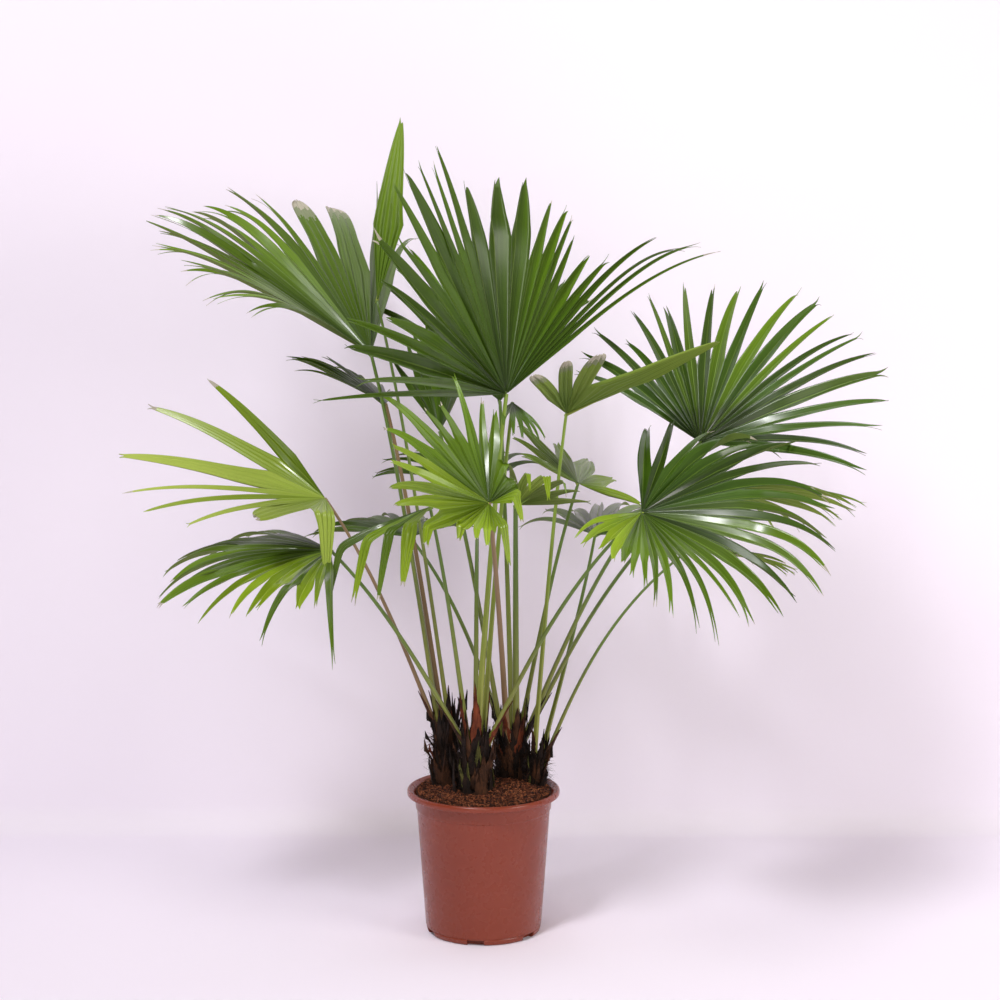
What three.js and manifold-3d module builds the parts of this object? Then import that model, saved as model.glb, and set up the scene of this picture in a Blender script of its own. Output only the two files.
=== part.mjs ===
// Chinese fan palm, a clump of four stems in a round nursery pot.
// Millimetres, +Z up. The origin is the centre of the pot's flat underside, and -Y is the front.
// Each fan-shaped frond is a thin blade split into ribbed lobes, and each stands on its own stalk.

import * as THREE from 'three';
import Module from 'manifold-3d';
import { mergeVertices } from 'three/addons/utils/BufferGeometryUtils.js';

const wasm = await Module();
wasm.setup();

// Clearances between neighbouring solids
const GAP = 0.3;
const SOCKET_GAP = 0.35;

// Pot: an injection-moulded shell with a rolled rim, a collar under it and a foot ring
const POT_HEIGHT = 230;
const POT_RIM_RADIUS = 120;
const POT_RIM_DEPTH = 10;
const POT_COLLAR_RADIUS = 107;
const POT_COLLAR_DEPTH = 31;
const POT_COLLAR_STEP = 1.5;
const POT_FOOT_RADIUS = 90;
const POT_FOOT_RING = 9;
const POT_FOOT_ROUND = 4;
const POT_FOOT_RING_STEP = 0.6;
const POT_WALL = 3;
const POT_FLOOR = 4;
const POT_SIDES = 40;
const DRAIN_COUNT = 6;
const DRAIN_WIDTH = 26;
const DRAIN_HEIGHT = 7;
const DRAIN_DEPTH = 22;
const DRAIN_FIRST_ANGLE = -98;

// Potting mix: fills the shell to just under the rim
const MIX_TOP = 226;
const MIX_EDGE = 220;
const MIX_LEVEL_RADIUS = 100;

// Stems: short fibrous stumps, each cut flat where it meets the mix
// x, y is the foot, lean moves the top, and the ring carries the feet of its stalks
const STEMS = [
  { x: -60, y: 15, height: 104, foot: 23, top: 16, leanX: 2, leanY: 2, ring: 10 },
  { x: -14, y: -32, height: 98, foot: 31, top: 20, leanX: 3, leanY: 2, ring: 13 },
  { x: 42, y: 50, height: 86, foot: 29, top: 22, leanX: 4, leanY: -2, ring: 15 },
  { x: 84, y: 16, height: 60, foot: 13, top: 12, leanX: 1, leanY: 1, ring: 7.5 },
];
const STEM_SIDES = 14;
const STEM_TOP_ROOM = 4;
const STEM_ROUGHNESS = 0.06;
const STEM_LEVELS = [[0, 1.22], [0.12, 1], [0.5, 0.92], [0.85, 1], [1, 0.8]];
const SOCKET_DEPTH = 26;

// Sheaths: pointed brown scales that stand up from a stem beside each stalk. Each level is a
// share of the length above the stem's top, and a share of the width.
const SHEATH_LENGTH_SHARE = 0.65;
const SHEATH_WIDTH = 11;
const SHEATH_THICKNESS = 3.5;
const SHEATH_LAP = 1;
const SHEATH_LEVELS = [[-0.35, 0.8], [0.2, 1], [0.6, 0.7], [1, 0.12]];
const SHEATH_LEAST_SHARE = 0.3;

// Stalks: a cubic curve whose two knots stand higher than a straight line's. A sheath follows its
// stalk with a little lag.
const STALK_SIDES = 6;
const STALK_STEPS = 7;
const STALK_TIP_SHARE = 0.62;
const STALK_KNOTS = [1 / 3, 2 / 3];
const STALK_EARLY_RISE = 1.08;
const STALK_LAG = 0.9;
const SEAT_STEP = 0.2;

// Blades
const BLADE_THICKNESS_SHARE = 1 / 95;
const BLADE_THICKNESS_LEAST = 3.2;
const RIB_STEPS = 16;
const PLEAT_DEPTH = 0.2;
const LOBE_STATIONS = [0.42, 0.8];
const LOBE_TAPER = 0.65;
const REACH_SCATTER = 0.05;
const SPLIT_SCATTER = 0.12;
const SPLIT_DEEPEN = 0.45;
const DROOP_SCATTER = 0.25;

// Fronds. hub: where the ribs meet. heading and pitch: the middle rib's direction in degrees,
// counted from +X towards +Y, and up. roll: turns the blade about it. reach: longest rib.
// left, right: how far the fan opens to each side. droop: how strongly the lobes bend down.
// cup: lifts the sides. shorten: how much shorter the side lobes are. fused: share of a lobe
// joined to its neighbours. stem, slot: which stump carries the stalk, and the angle of its foot
// there. stalk: its foot's radius. bow: how upright it starts. tone: which leaf green. skew: how
// much longer the left lobes are. arm: length of the right edge's lobe against its neighbours.
const FRONDS = [
  { hub: [36, 10, 852], heading: 92, pitch: 86, roll: -48, reach: 365, lobes: 21, left: 90, right: 62,
    droop: 0.08, cup: 0.11, shorten: 0.25, fused: 0.6, stem: 1, slot: 270, stalk: 5.2, bow: 0.1,
    tone: 'dark', skew: 0.24, arm: 1.75 },
  { hub: [-175, 60, 910], heading: 155, pitch: 40, roll: 5, reach: 420, lobes: 18, left: 77, right: 58,
    droop: 0.15, cup: 0.55, shorten: 0.3, fused: 0.42, stem: 0, slot: 165, stalk: 4.6, bow: 0.1,
    tone: 'green' },
  { hub: [-155, 115, 825], heading: 140, pitch: 28, roll: -15, reach: 185, lobes: 10, left: 55, right: 60,
    droop: 0.25, cup: 0.1, shorten: 0.3, fused: 0.45, stem: 0, slot: 108, stalk: 4.4, bow: 0.1,
    tone: 'dark' },
  { hub: [-70, 120, 780], heading: 105, pitch: 75, roll: 75, reach: 195, lobes: 10, left: 45, right: 65,
    droop: 0.1, cup: 0.3, shorten: 0.3, fused: 0.5, stem: 2, slot: 165, stalk: 4.4, bow: 0.1,
    tone: 'dark' },
  { hub: [10, -228, 718], heading: 190, pitch: 40, roll: 47, reach: 195, lobes: 18, left: 140, right: 132,
    droop: 0.05, cup: 0.28, shorten: 0.5, fused: 0.5, stem: 2, slot: 240, stalk: 4.8, bow: 0.1,
    tone: 'lime' },
  { hub: [50, -12, 682], heading: -36, pitch: 25, roll: 35, reach: 124, lobes: 9, left: 36, right: 56,
    droop: 0.15, cup: 0.15, shorten: 0.3, fused: 0.6, stem: 2, slot: 290, stalk: 5.6, bow: 0.1,
    tone: 'green' },
  { hub: [130, 70, 815], heading: -45, pitch: 30, roll: 0, reach: 290, lobes: 9, left: 50, right: 60,
    droop: 0.05, cup: 0.2, shorten: 0.45, fused: 0.52, stem: 3, slot: 210, stalk: 4, bow: 0.1,
    tone: 'olive' },
  { hub: [343, 100, 765], heading: 60, pitch: 53, roll: -10, reach: 330, lobes: 20, left: 68, right: 95,
    droop: 0.26, cup: 0.2, shorten: 0.5, fused: 0.4, stem: 2, slot: 330, stalk: 4.6, bow: 0.25,
    tone: 'green', skew: -0.12 },
  { hub: [240, -110, 686], heading: -22, pitch: -1, roll: -28, reach: 330, lobes: 20, left: 110, right: 142,
    droop: 0.4, cup: 0.18, shorten: 0.4, fused: 0.42, stem: 1, slot: 340, stalk: 4.8, bow: 0.2,
    tone: 'lime' },
  { hub: [347, 150, 683], heading: 2, pitch: 0, roll: 18, reach: 270, lobes: 11, left: 50, right: 54,
    droop: 0.38, cup: 0, shorten: 0.35, fused: 0.42, stem: 2, slot: 12, stalk: 4.4, bow: 0.25,
    tone: 'olive' },
  { hub: [322, 60, 598], heading: -30, pitch: 5, roll: 18, reach: 185, lobes: 9, left: 35, right: 57,
    droop: 0.4, cup: 0.2, shorten: 0.4, fused: 0.5, stem: 3, slot: 330, stalk: 3.6, bow: 0.35,
    tone: 'olive' },
  { hub: [152, 165, 690], heading: 105, pitch: 23, roll: -28, reach: 165, lobes: 9, left: 100, right: 94,
    droop: 0.05, cup: 0.1, shorten: 0.3, fused: 0.5, stem: 2, slot: 55, stalk: 4, bow: 0.1,
    tone: 'olive' },
  { hub: [46, 62, 833], heading: -72, pitch: -22, roll: 62, reach: 92, lobes: 7, left: 40, right: 40,
    droop: 0.8, cup: 0.1, shorten: 0.4, fused: 0.5, stem: 1, slot: 45, stalk: 4.2, bow: 0.1,
    tone: 'dark' },
  { hub: [-237, -4, 610], heading: 206, pitch: -2, roll: 8, reach: 300, lobes: 18, left: 70, right: 80,
    droop: 0.7, cup: 0.05, shorten: 0.35, fused: 0.45, stem: 1, slot: 205, stalk: 4.8, bow: 0.12,
    tone: 'dark' },
  { hub: [-246, 20, 688], heading: 183, pitch: 25, roll: 24, reach: 326, lobes: 7, left: 110, right: 46,
    droop: 0.15, cup: 0.25, shorten: 0.5, fused: 0.34, stem: 0, slot: 215, stalk: 4.4, bow: 0.12,
    tone: 'lime' },
  { hub: [-81, -54, 686], heading: 209, pitch: -20, roll: -6, reach: 205, lobes: 6, left: 48, right: 34,
    droop: 2.2, cup: 0.05, shorten: 0.3, fused: 0.5, stem: 1, slot: 150, stalk: 4.4, bow: 0.1,
    tone: 'green' },
  { hub: [-163, 22, 995], heading: 30, pitch: 77, roll: -60, reach: 278, lobes: 1, left: 10, right: 10,
    droop: 0.05, cup: 0, shorten: 0.3, fused: 0.55, stem: 0, slot: 40, stalk: 4.2, bow: 0.1,
    tone: 'green' },
  { hub: [-10, 155, 690], heading: 110, pitch: 25, roll: 0, reach: 195, lobes: 11, left: 70, right: 62,
    droop: 0.5, cup: 0.1, shorten: 0.3, fused: 0.45, stem: 1, slot: 95, stalk: 4.2, bow: 0.2,
    tone: 'dark' },
  { hub: [26, 190, 820], heading: 112, pitch: 55, roll: 0, reach: 320, lobes: 11, left: 42, right: 46,
    droop: 0.3, cup: 0.1, shorten: 0.5, fused: 0.5, stem: 2, slot: 90, stalk: 4.4, bow: 0.1,
    tone: 'dark' },
  { hub: [180, 175, 604], heading: 50, pitch: 15, roll: 0, reach: 250, lobes: 12, left: 80, right: 70,
    droop: 0.5, cup: 0.1, shorten: 0.3, fused: 0.45, stem: 3, slot: 75, stalk: 3.8, bow: -0.2,
    tone: 'green' },
  { hub: [-120, 165, 603], heading: 118, pitch: 12, roll: 0, reach: 195, lobes: 12, left: 62, right: 75,
    droop: 0.5, cup: 0.1, shorten: 0.3, fused: 0.45, stem: 2, slot: 129, stalk: 4.2, bow: 0.25,
    tone: 'dark' },
];

// Colours
const POT_COLOR = 0x8c4632;
const MIX_COLOR = 0x5c3d2a;
const STEM_COLOR = 0x3a2a1c;
const STALK_COLOR = 0x6f7a36;
const LEAF_COLORS = { dark: 0x355a1e, green: 0x456f24, lime: 0x6f9a2c, olive: 0x5c7534 };

const UP = new THREE.Vector3(0, 0, 1);
const rad = THREE.MathUtils.degToRad;
const vec = (x, y, z) => new THREE.Vector3(x, y, z);

// A repeatable scatter between -1 and 1 from two numbers
function scatter(a, b) {
  const wave = Math.sin(a * 12.9898 + b * 78.233) * 43758.5453;
  return 2 * (wave - Math.floor(wave)) - 1;
}

// ---- Solids ---------------------------------------------------------------------------------

function geometryOf(points, faces) {
  const geometry = new THREE.BufferGeometry();
  const flat = points.flatMap((p) => [p.x, p.y, p.z]);
  geometry.setAttribute('position', new THREE.Float32BufferAttribute(flat, 3));
  geometry.setIndex(faces.flat());
  return geometry;
}

function toManifold(geometry) {
  const bare = geometry.clone();
  bare.deleteAttribute('normal');
  bare.deleteAttribute('uv');
  const merged = mergeVertices(bare, 1e-4);
  const vertProperties = new Float32Array(merged.attributes.position.array);
  const triVerts = new Uint32Array(merged.index.array);
  return new wasm.Manifold(new wasm.Mesh({ numProp: 3, vertProperties, triVerts }));
}

function fromManifold(solid) {
  const mesh = solid.getMesh();
  const geometry = new THREE.BufferGeometry();
  geometry.setAttribute('position', new THREE.BufferAttribute(new Float32Array(mesh.vertProperties), 3));
  geometry.setIndex(new THREE.BufferAttribute(new Uint32Array(mesh.triVerts), 1));
  return geometry;
}

// Rings of equal count, joined in order and closed by a fan at each end
function loft(rings) {
  const sides = rings[0].length;
  const points = rings.flat();
  const faces = [];
  for (let r = 0; r < rings.length - 1; r += 1) {
    for (let s = 0; s < sides; s += 1) {
      const a = r * sides + s;
      const b = r * sides + ((s + 1) % sides);
      faces.push([a, b, b + sides], [a, b + sides, a + sides]);
    }
  }
  const last = (rings.length - 1) * sides;
  for (let s = 1; s < sides - 1; s += 1) {
    faces.push([0, s + 1, s], [last, last + s, last + s + 1]);
  }
  return geometryOf(points, faces);
}

// ---- Pot and potting mix --------------------------------------------------------------------

const POT_WALL_TOP = POT_HEIGHT - POT_RIM_DEPTH;

// Outer radius of the tapering wall
function potRadius(z) {
  return POT_FOOT_RADIUS + ((POT_COLLAR_RADIUS - POT_FOOT_RADIUS) * z) / POT_WALL_TOP;
}

function turned(profile) {
  const lathe = new THREE.LatheGeometry(profile.map(([r, z]) => new THREE.Vector2(r, z)), POT_SIDES);
  return lathe.rotateX(Math.PI / 2);
}

function potGeometry() {
  const collarFoot = POT_HEIGHT - POT_COLLAR_DEPTH;
  const lip = POT_RIM_DEPTH / 3;
  const soften = POT_FOOT_ROUND * 0.3;
  const profile = [
    [0, 0],
    [POT_FOOT_RADIUS - POT_FOOT_ROUND, 0],
    [POT_FOOT_RADIUS - soften, soften],
    [potRadius(POT_FOOT_ROUND) - POT_FOOT_RING_STEP, POT_FOOT_ROUND],
    [potRadius(POT_FOOT_RING) - POT_FOOT_RING_STEP, POT_FOOT_RING],
    [potRadius(POT_FOOT_RING) + POT_FOOT_RING_STEP, POT_FOOT_RING + 1],
    [potRadius(collarFoot) - POT_COLLAR_STEP, collarFoot - POT_COLLAR_STEP],
    [potRadius(collarFoot), collarFoot],
    [potRadius(POT_WALL_TOP), POT_WALL_TOP],
    [POT_RIM_RADIUS - lip, POT_WALL_TOP],
    [POT_RIM_RADIUS, POT_WALL_TOP + lip],
    [POT_RIM_RADIUS, POT_HEIGHT - lip],
    [POT_RIM_RADIUS - lip, POT_HEIGHT],
    [POT_RIM_RADIUS - 2 * lip, POT_HEIGHT],
    [potRadius(POT_WALL_TOP) - POT_WALL + 1, POT_WALL_TOP + lip],
    [potRadius(POT_WALL_TOP) - POT_WALL, POT_WALL_TOP],
    [potRadius(POT_FLOOR) - POT_WALL, POT_FLOOR],
    [0, POT_FLOOR],
  ];
  let shell = toManifold(turned(profile));
  for (let i = 0; i < DRAIN_COUNT; i += 1) {
    const notch = new THREE.BoxGeometry(DRAIN_DEPTH, DRAIN_WIDTH, 2 * DRAIN_HEIGHT);
    notch.translate(POT_FOOT_RADIUS, 0, 0);
    notch.rotateZ(rad(DRAIN_FIRST_ANGLE + (360 * i) / DRAIN_COUNT));
    shell = shell.subtract(toManifold(notch));
  }
  return fromManifold(shell);
}

function mixGeometry() {
  const foot = POT_FLOOR + GAP;
  const profile = [
    [0, foot],
    [potRadius(foot) - POT_WALL - GAP, foot],
    [potRadius(MIX_EDGE) - POT_WALL - GAP, MIX_EDGE],
    [MIX_LEVEL_RADIUS, MIX_TOP],
    [0, MIX_TOP],
  ];
  return fromManifold(toManifold(turned(profile)));
}

// ---- Blades ---------------------------------------------------------------------------------

// The blade's own axes: along the middle rib, to its left, and out of its upper face
function bladeAxes(frond) {
  const heading = rad(frond.heading);
  const pitch = rad(frond.pitch);
  const roll = rad(frond.roll);
  const flat = Math.cos(pitch);
  const along = vec(flat * Math.cos(heading), flat * Math.sin(heading), Math.sin(pitch));
  const level = UP.clone().addScaledVector(along, -along.z).normalize();
  const side = level.clone().cross(along);
  const face = level.clone().multiplyScalar(Math.cos(roll)).addScaledVector(side, Math.sin(roll));
  const left = side.clone().multiplyScalar(Math.cos(roll)).addScaledVector(level, -Math.sin(roll));
  return { along, left, face };
}

// Direction in which the rib at this angle leaves the hub: the fan lies in a plane, cupped a
// little towards its upper face at the sides
function ribDirection(frond, axes, angle) {
  return axes.along.clone().multiplyScalar(Math.cos(angle))
    .addScaledVector(axes.left, Math.sin(angle))
    .addScaledVector(axes.face, frond.cup * (1 - Math.cos(angle)))
    .normalize();
}

// Points along a rib: it sets off straight and droops with the square of its length
function ribPath(frond, axes, angle, reach, seed) {
  const start = ribDirection(frond, axes, angle);
  const droop = frond.droop * (1 + DROOP_SCATTER * scatter(3 * angle, seed));
  const path = [vec(...frond.hub)];
  for (let i = 0; i < RIB_STEPS; i += 1) {
    const share = (i + 0.5) / RIB_STEPS;
    const step = start.clone().addScaledVector(UP, -droop * share * share).normalize();
    path.push(path[i].clone().addScaledVector(step, reach / RIB_STEPS));
  }
  return path;
}

function pointAt(path, share) {
  const place = share * (path.length - 1);
  const i = Math.min(Math.floor(place), path.length - 2);
  return path[i].clone().lerp(path[i + 1], place - i);
}

function lobeReach(frond, angle, index, seed) {
  const { reach, shorten, skew = 0, arm = 1 } = frond;
  const shape = (1 - shorten * (1 - Math.cos(angle)) / 2) * (1 + skew * Math.sin(angle));
  return reach * shape * (index === 0 ? arm : 1) * (1 + REACH_SCATTER * scatter(index + 1, seed));
}

// The splits cut deeper towards the two sides of the fan
function fusedShare(frond, angle, index) {
  const { fused, arm = 1 } = frond;
  return fused * (1 - SPLIT_DEEPEN * (1 - Math.cos(angle)) / 2) / (index === 0 ? arm : 1);
}

// The upper face: pleated from the hub to the splits, then one tapering folded lobe per rib
function bladeSurface(frond, seed) {
  const axes = bladeAxes(frond);
  const first = rad(-frond.right);
  const spacing = rad(frond.left + frond.right) / frond.lobes;
  const reaches = [];
  for (let i = 0; i < frond.lobes; i += 1) {
    reaches.push(lobeReach(frond, first + (i + 0.5) * spacing, i, seed));
  }
  const points = [vec(...frond.hub)];
  const faces = [];
  const splits = [];
  for (let i = 0; i <= frond.lobes; i += 1) {
    const angle = first + i * spacing;
    const before = reaches[Math.max(i - 1, 0)];
    const after = reaches[Math.min(i, frond.lobes - 1)];
    const reach = Math.min(before, after);
    const path = ribPath(frond, axes, angle, reach, seed);
    const share = fusedShare(frond, angle, i) * (1 + SPLIT_SCATTER * scatter(i + 5, seed));
    splits.push(points.push(pointAt(path, share)) - 1);
  }
  for (let i = 0; i < frond.lobes; i += 1) {
    const angle = first + (i + 0.5) * spacing;
    const path = ribPath(frond, axes, angle, reaches[i], seed);
    const fused = fusedShare(frond, angle, i);
    const right = points[splits[i]];
    const left = points[splits[i + 1]];
    const width = left.distanceTo(right);
    const across = left.clone().sub(right).normalize();
    const base = pointAt(path, fused);
    const outward = pointAt(path, fused + 0.05).sub(base).normalize();
    const faceAt = outward.clone().cross(across).normalize();
    const middle = base.addScaledVector(faceAt, -PLEAT_DEPTH * width);
    let ring = [splits[i], points.push(middle) - 1, splits[i + 1]];
    faces.push([0, ring[0], ring[1]], [0, ring[1], ring[2]]);
    for (const station of LOBE_STATIONS) {
      const share = fused + (1 - fused) * station;
      const centre = pointAt(path, share);
      const tangent = pointAt(path, Math.min(share + 0.05, 1)).sub(centre).normalize();
      const half = 0.5 * width * (1 - station) ** LOBE_TAPER;
      const normal = tangent.clone().cross(across).normalize();
      const sideways = normal.clone().cross(tangent).normalize();
      const drop = PLEAT_DEPTH * 2 * half;
      const next = [
        points.push(centre.clone().addScaledVector(sideways, -half)) - 1,
        points.push(centre.clone().addScaledVector(normal, -drop)) - 1,
        points.push(centre.clone().addScaledVector(sideways, half)) - 1,
      ];
      for (let s = 0; s < 2; s += 1) {
        faces.push([ring[s], next[s], next[s + 1]], [ring[s], next[s + 1], ring[s + 1]]);
      }
      ring = next;
    }
    const tip = points.push(path[path.length - 1].clone()) - 1;
    faces.push([ring[0], tip, ring[1]], [ring[1], tip, ring[2]]);
  }
  return { points, faces };
}

// Gives a surface its thickness: a copy below it, and walls along every open edge
function thicken(surface, thickness) {
  const { points, faces } = surface;
  const normals = points.map(() => vec(0, 0, 0));
  const edges = new Map();
  for (const [a, b, c] of faces) {
    const cross = points[b].clone().sub(points[a]).cross(points[c].clone().sub(points[a]));
    for (const i of [a, b, c]) normals[i].add(cross);
    for (const [p, q] of [[a, b], [b, c], [c, a]]) edges.set(`${p},${q}`, [p, q]);
  }
  const count = points.length;
  const lower = points.map((p, i) => p.clone().addScaledVector(normals[i].normalize(), -thickness));
  const shell = faces.map((face) => [...face]);
  for (const [a, b, c] of faces) shell.push([a + count, c + count, b + count]);
  for (const [p, q] of edges.values()) {
    if (!edges.has(`${q},${p}`)) shell.push([p, p + count, q + count], [p, q + count, q]);
  }
  return geometryOf([...points, ...lower], shell);
}

function bladeThickness(frond) {
  return Math.max(BLADE_THICKNESS_LEAST, frond.reach * BLADE_THICKNESS_SHARE);
}

// ---- Stalks ---------------------------------------------------------------------------------

function stalkFoot(frond) {
  const stem = STEMS[frond.stem];
  const angle = rad(frond.slot);
  const x = stem.x + stem.leanX + stem.ring * Math.cos(angle);
  const y = stem.y + stem.leanY + stem.ring * Math.sin(angle);
  return vec(x, y, MIX_TOP + stem.height - SOCKET_DEPTH);
}

// A stalk rises steeply from its stem and leans over towards the hub
function stalkCurve(frond, end) {
  const foot = stalkFoot(frond);
  const rise = end.clone().sub(foot);
  const level = 1 - frond.bow;
  const [low, high] = STALK_KNOTS.map((share) => (
    rise.clone().multiply(vec(level, level, STALK_EARLY_RISE)).multiplyScalar(share).add(foot)
  ));
  return new THREE.CubicBezierCurve3(foot, low, high, end);
}

// A tapering stalk that stops short of the hub by the setback. grow makes it fatter and longer at
// its tip, and sink longer at its foot, for cutting the room that it needs.
function stalkGeometry(frond, setback, grow = 0, sink = 0) {
  const hub = vec(...frond.hub);
  const tipRadius = frond.stalk * STALK_TIP_SHARE;
  const toHub = stalkCurve(frond, hub).getTangent(1);
  const end = hub.addScaledVector(toHub, grow - setback);
  const curve = stalkCurve(frond, end);
  const rings = [];
  for (let i = 0; i <= STALK_STEPS; i += 1) {
    const share = i / STALK_STEPS;
    const centre = curve.getPoint(share);
    const tangent = i === STALK_STEPS ? toHub : curve.getTangent(share);
    if (i === 0) centre.addScaledVector(tangent, -sink);
    const across = vec(0, 1, 0).cross(tangent).normalize();
    const other = tangent.clone().cross(across);
    const radius = THREE.MathUtils.lerp(frond.stalk, tipRadius, share) + grow;
    const ring = [];
    for (let s = 0; s < STALK_SIDES; s += 1) {
      const turn = (2 * Math.PI * s) / STALK_SIDES;
      ring.push(centre.clone()
        .addScaledVector(across, radius * Math.cos(turn))
        .addScaledVector(other, radius * Math.sin(turn)));
    }
    rings.push(ring);
  }
  return loft(rings);
}

// The setback at which the end of the stalk, slid back from the hub, is GAP clear of the blade
function seatedSetback(frond, blade) {
  const bladeSolid = toManifold(blade);
  let setback = SEAT_STEP;
  while (!toManifold(stalkGeometry(frond, setback, GAP)).intersect(bladeSolid).isEmpty()) {
    setback += SEAT_STEP;
  }
  return setback;
}

// ---- Stems ----------------------------------------------------------------------------------

function stemBody(stem, seed) {
  const rings = STEM_LEVELS.map(([share, swell]) => {
    const ring = [];
    for (let s = 0; s < STEM_SIDES; s += 1) {
      const turn = (2 * Math.PI * s) / STEM_SIDES;
      const rough = 1 + STEM_ROUGHNESS * scatter(s + 31 * share, seed);
      const radius = THREE.MathUtils.lerp(stem.foot, stem.top + STEM_TOP_ROOM, share) * swell * rough;
      ring.push(vec(
        stem.x + stem.leanX * share + radius * Math.cos(turn),
        stem.y + stem.leanY * share + radius * Math.sin(turn),
        MIX_TOP + GAP + stem.height * share,
      ));
    }
    return ring;
  });
  return toManifold(loft(rings));
}

// A pointed leaf sheath that stands up from the stem beside a stalk
function sheath(frond) {
  const stem = STEMS[frond.stem];
  const angle = rad(frond.slot);
  const outward = vec(Math.cos(angle), Math.sin(angle), 0);
  const across = vec(-outward.y, outward.x, 0);
  const curve = stalkCurve(frond, vec(...frond.hub));
  const foot = curve.getPoint(0);
  const rings = SHEATH_LEVELS.map(([share, spread]) => {
    const lift = SOCKET_DEPTH + share * SHEATH_LENGTH_SHARE * stem.height;
    const beside = Math.max(0, (STALK_LAG * lift) / (frond.hub[2] - foot.z));
    const centre = curve.getPoint(beside).setZ(foot.z + lift);
    centre.addScaledVector(outward, frond.stalk + SHEATH_THICKNESS / 2 - SHEATH_LAP);
    const wide = (SHEATH_WIDTH * spread) / 2;
    const thick = (SHEATH_THICKNESS * Math.max(spread, SHEATH_LEAST_SHARE)) / 2;
    return [[1, 0], [0, 1], [-1, 0], [0, -1]].map(([w, t]) => centre.clone()
      .addScaledVector(across, -w * wide)
      .addScaledVector(outward, t * thick));
  });
  return toManifold(loft(rings));
}

function stemGeometry(index, setbacks) {
  let solid = stemBody(STEMS[index], index + 1);
  const carried = FRONDS.filter((frond) => frond.stem === index);
  for (const frond of carried) solid = solid.add(sheath(frond));
  FRONDS.forEach((frond, i) => {
    const room = stalkGeometry(frond, setbacks[i], SOCKET_GAP, SOCKET_GAP);
    solid = solid.subtract(toManifold(room));
  });
  const pieces = solid.decompose().sort((a, b) => b.volume() - a.volume());
  return fromManifold(pieces[0]);
}

// ---- Assembly -------------------------------------------------------------------------------

const palm = new THREE.Group();

function place(name, geometry, color, roughness) {
  const material = new THREE.MeshStandardMaterial({ color, roughness, metalness: 0 });
  const mesh = new THREE.Mesh(geometry, material);
  mesh.name = name;
  palm.add(mesh);
}

place('pot', potGeometry(), POT_COLOR, 0.4);
place('potting_mix', mixGeometry(), MIX_COLOR, 0.95);
const blades = FRONDS.map((frond, index) => (
  thicken(bladeSurface(frond, index + 1), bladeThickness(frond))
));
const setbacks = FRONDS.map((frond, index) => seatedSetback(frond, blades[index]));
STEMS.forEach((stem, index) => {
  place(`stem_${index + 1}`, stemGeometry(index, setbacks), STEM_COLOR, 0.95);
});
FRONDS.forEach((frond, index) => {
  const number = String(index + 1).padStart(2, '0');
  place(`stalk_${number}`, stalkGeometry(frond, setbacks[index]), STALK_COLOR, 0.5);
  place(`frond_${number}`, blades[index], LEAF_COLORS[frond.tone], 0.45);
});

export default palm;
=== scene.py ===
"""Chinese fan palm in a nursery pot: the looks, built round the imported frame.

The object is put together from the ground up: the moulded pot, the coir that fills it, the four
fibrous stems, the leaf stalks, and last the pleated fans. Sizes are in millimetres and are turned
into metres where a mesh is made. The origin is the centre of the pot's flat underside, +Z is up
and -Y is the front.
"""
import math

import bmesh
import bpy
import numpy as np
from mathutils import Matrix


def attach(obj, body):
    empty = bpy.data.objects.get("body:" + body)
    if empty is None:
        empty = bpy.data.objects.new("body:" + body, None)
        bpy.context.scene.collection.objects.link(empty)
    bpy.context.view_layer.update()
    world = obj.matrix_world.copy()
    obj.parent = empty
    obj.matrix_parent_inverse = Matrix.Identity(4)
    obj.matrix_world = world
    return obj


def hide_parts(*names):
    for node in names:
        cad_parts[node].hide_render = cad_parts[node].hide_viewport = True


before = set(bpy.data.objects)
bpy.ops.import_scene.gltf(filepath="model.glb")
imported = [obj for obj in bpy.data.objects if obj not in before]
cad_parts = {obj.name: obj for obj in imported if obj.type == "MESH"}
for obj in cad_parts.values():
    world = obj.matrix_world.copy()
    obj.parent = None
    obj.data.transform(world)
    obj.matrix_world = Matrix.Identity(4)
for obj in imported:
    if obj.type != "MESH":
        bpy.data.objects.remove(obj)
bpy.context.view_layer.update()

# ---- Pot ------------------------------------------------------------------------------------
# A round nursery pot in brown polypropylene, moulded in one shot: a rolled rim, a shallow collar
# under it, a tapering wall and a foot ring with six drain slots. It stands on its flat underside
# and carries everything else.

MM = 0.001
POT_HEIGHT = 230
POT_RIM_RADIUS = 120
POT_RIM_DEPTH = 10
POT_COLLAR_RADIUS = 107
POT_COLLAR_DEPTH = 31
POT_FOOT_RADIUS = 90
POT_WALL = 3
POT_FLOOR = 4
POT_SIDES = 144
DRAIN_COUNT = 6
DRAIN_SIZE = (22, 26, 17)
DRAIN_FIRST_ANGLE = -98


def linear(code):
    """An sRGB hex colour in linear light: c / 12.92 below 0.04045, else ((c + 0.055) / 1.055) ** 2.4."""
    c = np.array([int(code[i:i + 2], 16) for i in (1, 3, 5)]) / 255
    light = np.where(c < 0.04045, c / 12.92, ((c + 0.055) / 1.055) ** 2.4)
    return (*light.tolist(), 1.0)


def add_node(tree, kind, settings=None, inputs=None):
    """Adds one node: settings are its properties, and an input that is a socket is linked."""
    node = tree.nodes.new(kind)
    for key, value in (settings or {}).items():
        setattr(node, key, value)
    for key, value in (inputs or {}).items():
        if isinstance(value, bpy.types.NodeSocket):
            tree.links.new(value, node.inputs[key])
        else:
            node.inputs[key].default_value = value
    return node


def new_finish(name, sockets):
    """An empty principled material with these plain socket values, its node tree and its shader."""
    finish = bpy.data.materials.new(name)
    finish.use_nodes = True
    shader = finish.node_tree.nodes["Principled BSDF"]
    for key, value in sockets.items():
        shader.inputs[key].default_value = value
    return finish, finish.node_tree, shader


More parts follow.
